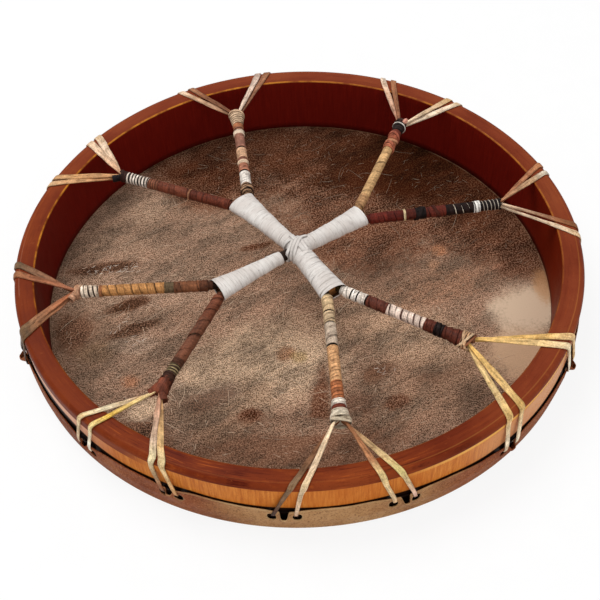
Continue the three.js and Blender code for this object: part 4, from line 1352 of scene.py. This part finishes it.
# Where the tape of each arm starts, and its pitch
TAPE_STARTS, TAPE_PITCHES = (16, 16, 16, 17.4), (5.2, 4.6, 5.6, 5.0)
TAPE_COVER, TAPE_STEPS, TAPE_SHADE = 1.15, 48, 0.84
# Strips over the crossing: bearing, offset to the side, width, lift and shade
LASHINGS = [
    (67, 4.4, 2.8, 0.5, 0.94), (68, 1.5, 2.9, 0.65, 1.0), (70, -1.4, 2.8, 0.75, 0.95),
    (112, -4.0, 4.6, 0.3, 0.98), (118, -0.5, 4.4, 0.2, 0.95), (20, 6.0, 2.6, 0.2, 0.9),
]


def wind_tape(shape, arm, start, stop, pitch, lift, seed, lumps):
    """White tape wound round an arm, a little way off its core."""
    size = lambda s: tuple(half + lift for half in core_size(arm, np.maximum(s, 0)))
    wind(
        shape, arm_axis(arm), start, stop, pitch, size, TAPE_THICKNESS, np.ones(3),
        TAPE_COVER, seed, TAPE_STEPS, TAPE_SHADE, 0.0, lumps,
    )


def make_grip():
    core = Shape()
    for arm in ARMS:
        angle = circle(24)[None]
        s = np.linspace(0, arm[1] - CORE_INSET, 16)[:, None]
        half_width, half_height = core_size(arm, s)
        # the core is dark, as painted shade where it shows between the tapes, and brown near the mouths
        mouth = smooth_step(arm[1] - 14, arm[1] - 4, s)[..., None]
        color = tone(40, 26, 18) * (1 - mouth) + tone(150, 100, 54) * mouth
        core.loft(round_axis(arm_axis(arm), s, angle, half_width, half_height), color)
        paint_mouth_shade(core, arm)
    padding = core.make("grip_padding", [LEATHER], "grip_cotton", "grip_core")

    for number, (arm, start, pitch) in enumerate(zip(ARMS, TAPE_STARTS, TAPE_PITCHES), 1):
        tape = Shape()
        wind_tape(tape, arm, start, arm[1], pitch, 0.45, number, 0.35)
        tape.make(f"grip_tape_{number}", [COTTON], "grip_cotton", f"grip_wrap_{number}")

    lashing = Shape()
    for number, (arm, start, lift) in enumerate(zip(ARMS, (0, 4, 0), (0.5, 0.2, 0.5)), 1):
        wind_tape(lashing, arm, start, 17, 4.8, lift, number + 9, 0.2)
    for row in LASHINGS:
        lash(lashing, *row)
    lashing.make("hub_lashing", [COTTON], "grip_cotton", "centre_lashing")


make_grip()


# Loose hairs on the hide


# Tufts of longer pale hair: place, half size and number of hairs
TUFTS = [((-178, 31), (24, 5), 36), ((-168, -40), (9, 9), 6), ((-150, -58), (9, 6), 6), ((70, -104), (12, 5), 8)]


HAIRS, LONG_HAIRS = 1000, 180
HAIR_REACH = 227.0
HAIR_HALF = 0.17
BARE, BARE_RADIUS = (206, -52), 52  # the middle and the radius of the bald patch


def hair(shape, draw, start, length, heading, bow, color):
    """One hair that lies on the hide, as a thin tapering loft."""
    path = [start]
    for step in range(6):
        path.append(path[-1] + outward(heading + bow * step * 0.7) * length / 6)
    path = np.array(path)
    if np.max(np.hypot(path[:, 0], path[:, 1])) > HAIR_REACH:
        return
    path[:, 2] = SKIN + slack(path[:, 0], path[:, 1]) + 0.1
    half = HAIR_HALF * np.array([0.3, 0.9, 1, 1, 0.9, 0.7, 0.25])[:, None] * draw.uniform(0.7, 1.2)
    run = unit_rows(np.gradient(path * [1, 1, 0], axis=0))
    across = np.stack([-run[:, 1], run[:, 0], np.zeros(7)], 1)
    rings = np.stack([path + across * half, path + UP * half, path - across * half, path - UP * 0.5], 1)
    shape.loft(rings, color)


def make_hairs():
    draw = random.Random(11)
    shape = Shape()
    for k in range(HAIRS):
        start = outward(draw.uniform(0, 360)) * 224 * math.sqrt(draw.random())
        length = draw.uniform(3, 8) if k > LONG_HAIRS else draw.uniform(10, 28)
        if math.dist(start[:2], BARE) < BARE_RADIUS:
            continue
        heading = 25 + 40 * math.sin(start[0] / 60) + 30 * math.cos(start[1] / 45) + draw.gauss(0, 40)
        shade = 0.42 + 0.6 * smooth_step(130, -60, start[1] + 0.5 * start[0])
        bow = draw.gauss(0, 9)
        hair(shape, draw, start, length, heading, bow, tone(226, 200, 172) * shade * draw.uniform(0.6, 1.1))
    for (x, y), (half_x, half_y), count in TUFTS:
        for _ in range(count):
            start = np.array([x + draw.uniform(-half_x, half_x), y + draw.uniform(-half_y, half_y), 0.0])
            length, heading, bow = draw.uniform(3, 6), draw.gauss(30, 40), draw.gauss(0, 9)
            hair(shape, draw, start, length, heading, bow, tone(232, 222, 208))
    return shape.make("hide_hairs", [RAWHIDE], "drumhead_hide")


hairs = make_hairs()


# Floor, light and camera
FLOOR_REACH = 6.0
FLOOR_DROP = 0.0004


def make_floor():
    """White paper, which shows white to the camera and keeps a soft shadow."""
    mesh = bpy.data.meshes.new("floor")
    corners = [(x * FLOOR_REACH, y * FLOOR_REACH, 0) for x, y in ((-1, -1), (1, -1), (1, 1), (-1, 1))]
    mesh.from_pydata(corners, [], [(0, 1, 2, 3)])
    n = Nodes("floor_paper")
    grain = n.noise(n.place, 40.0, 2.0, 0.5)
    color = n.mix(n.step(grain, 0.3, 0.7), (246, 246, 246), (250, 250, 250))
    mesh.materials.append(n.finish(color, 0.9, 0.0))
    seen = 0.0
    for kind in ("Camera", "Glossy", "Transmission"):
        seen = n.math("MAXIMUM", seen, n.add("LightPath", {}, f"Is {kind} Ray"))
    glow = n.add("Emission", {"Color": (255, 255, 255)})
    blend = n.add("MixShader", {0: n.times(seen, 0.85), 1: n.bsdf.outputs[0], 2: glow})
    n.feed(n.tree.nodes["Material Output"], {"Surface": blend})
    floor = linked("floor", mesh)
    floor.location.z = -FLOOR_DROP


def area_light(name, at, size, power):
    light = bpy.data.lights.new(name, "AREA")
    light.shape = "DISK"
    light.size = size
    light.energy = power
    lamp = linked(name, light)
    lamp.location = at
    lamp.rotation_mode = "QUATERNION"
    lamp.rotation_quaternion = (-Vector(at)).to_track_quat("-Z", "Y")


def make_world():
    world = bpy.data.worlds.new("studio")
    bpy.context.scene.world = world
    world.use_nodes = True
    background = world.node_tree.nodes["Background"]
    background.inputs["Color"].default_value = (1, 1, 1, 1)
    background.inputs["Strength"].default_value = 0.5


def make_camera():
    """The photograph's view, fitted to the hoop's ellipses and the forks."""
    stand, lens = (0.00049, -0.60123, 0.68033), 58.12
    tilt, roll = math.radians(49.339), math.radians(-2.683)
    back = Vector((0, -math.cos(tilt), math.sin(tilt)))
    level, rise = Vector((1, 0, 0)), Vector((0, math.sin(tilt), math.cos(tilt)))
    right = level * math.cos(roll) + rise * math.sin(roll)
    up = rise * math.cos(roll) - level * math.sin(roll)
    data = bpy.data.cameras.new("camera")
    data.sensor_width = 36.0
    data.lens = lens
    data.clip_start, data.clip_end = 0.01, 50
    camera = linked("camera", data)
    turn = Matrix((right, up, back)).transposed().to_4x4()
    camera.matrix_world = Matrix.Translation(stand) @ turn
    bpy.context.scene.camera = camera


make_floor()
make_world()
area_light("key", (-0.8, 0.7, 2.1), size=1.5, power=32)
area_light("fill", (0.6, -1.9, 1.3), size=2.0, power=16)
make_camera()
bpy.context.scene.view_settings.view_transform = "Standard"
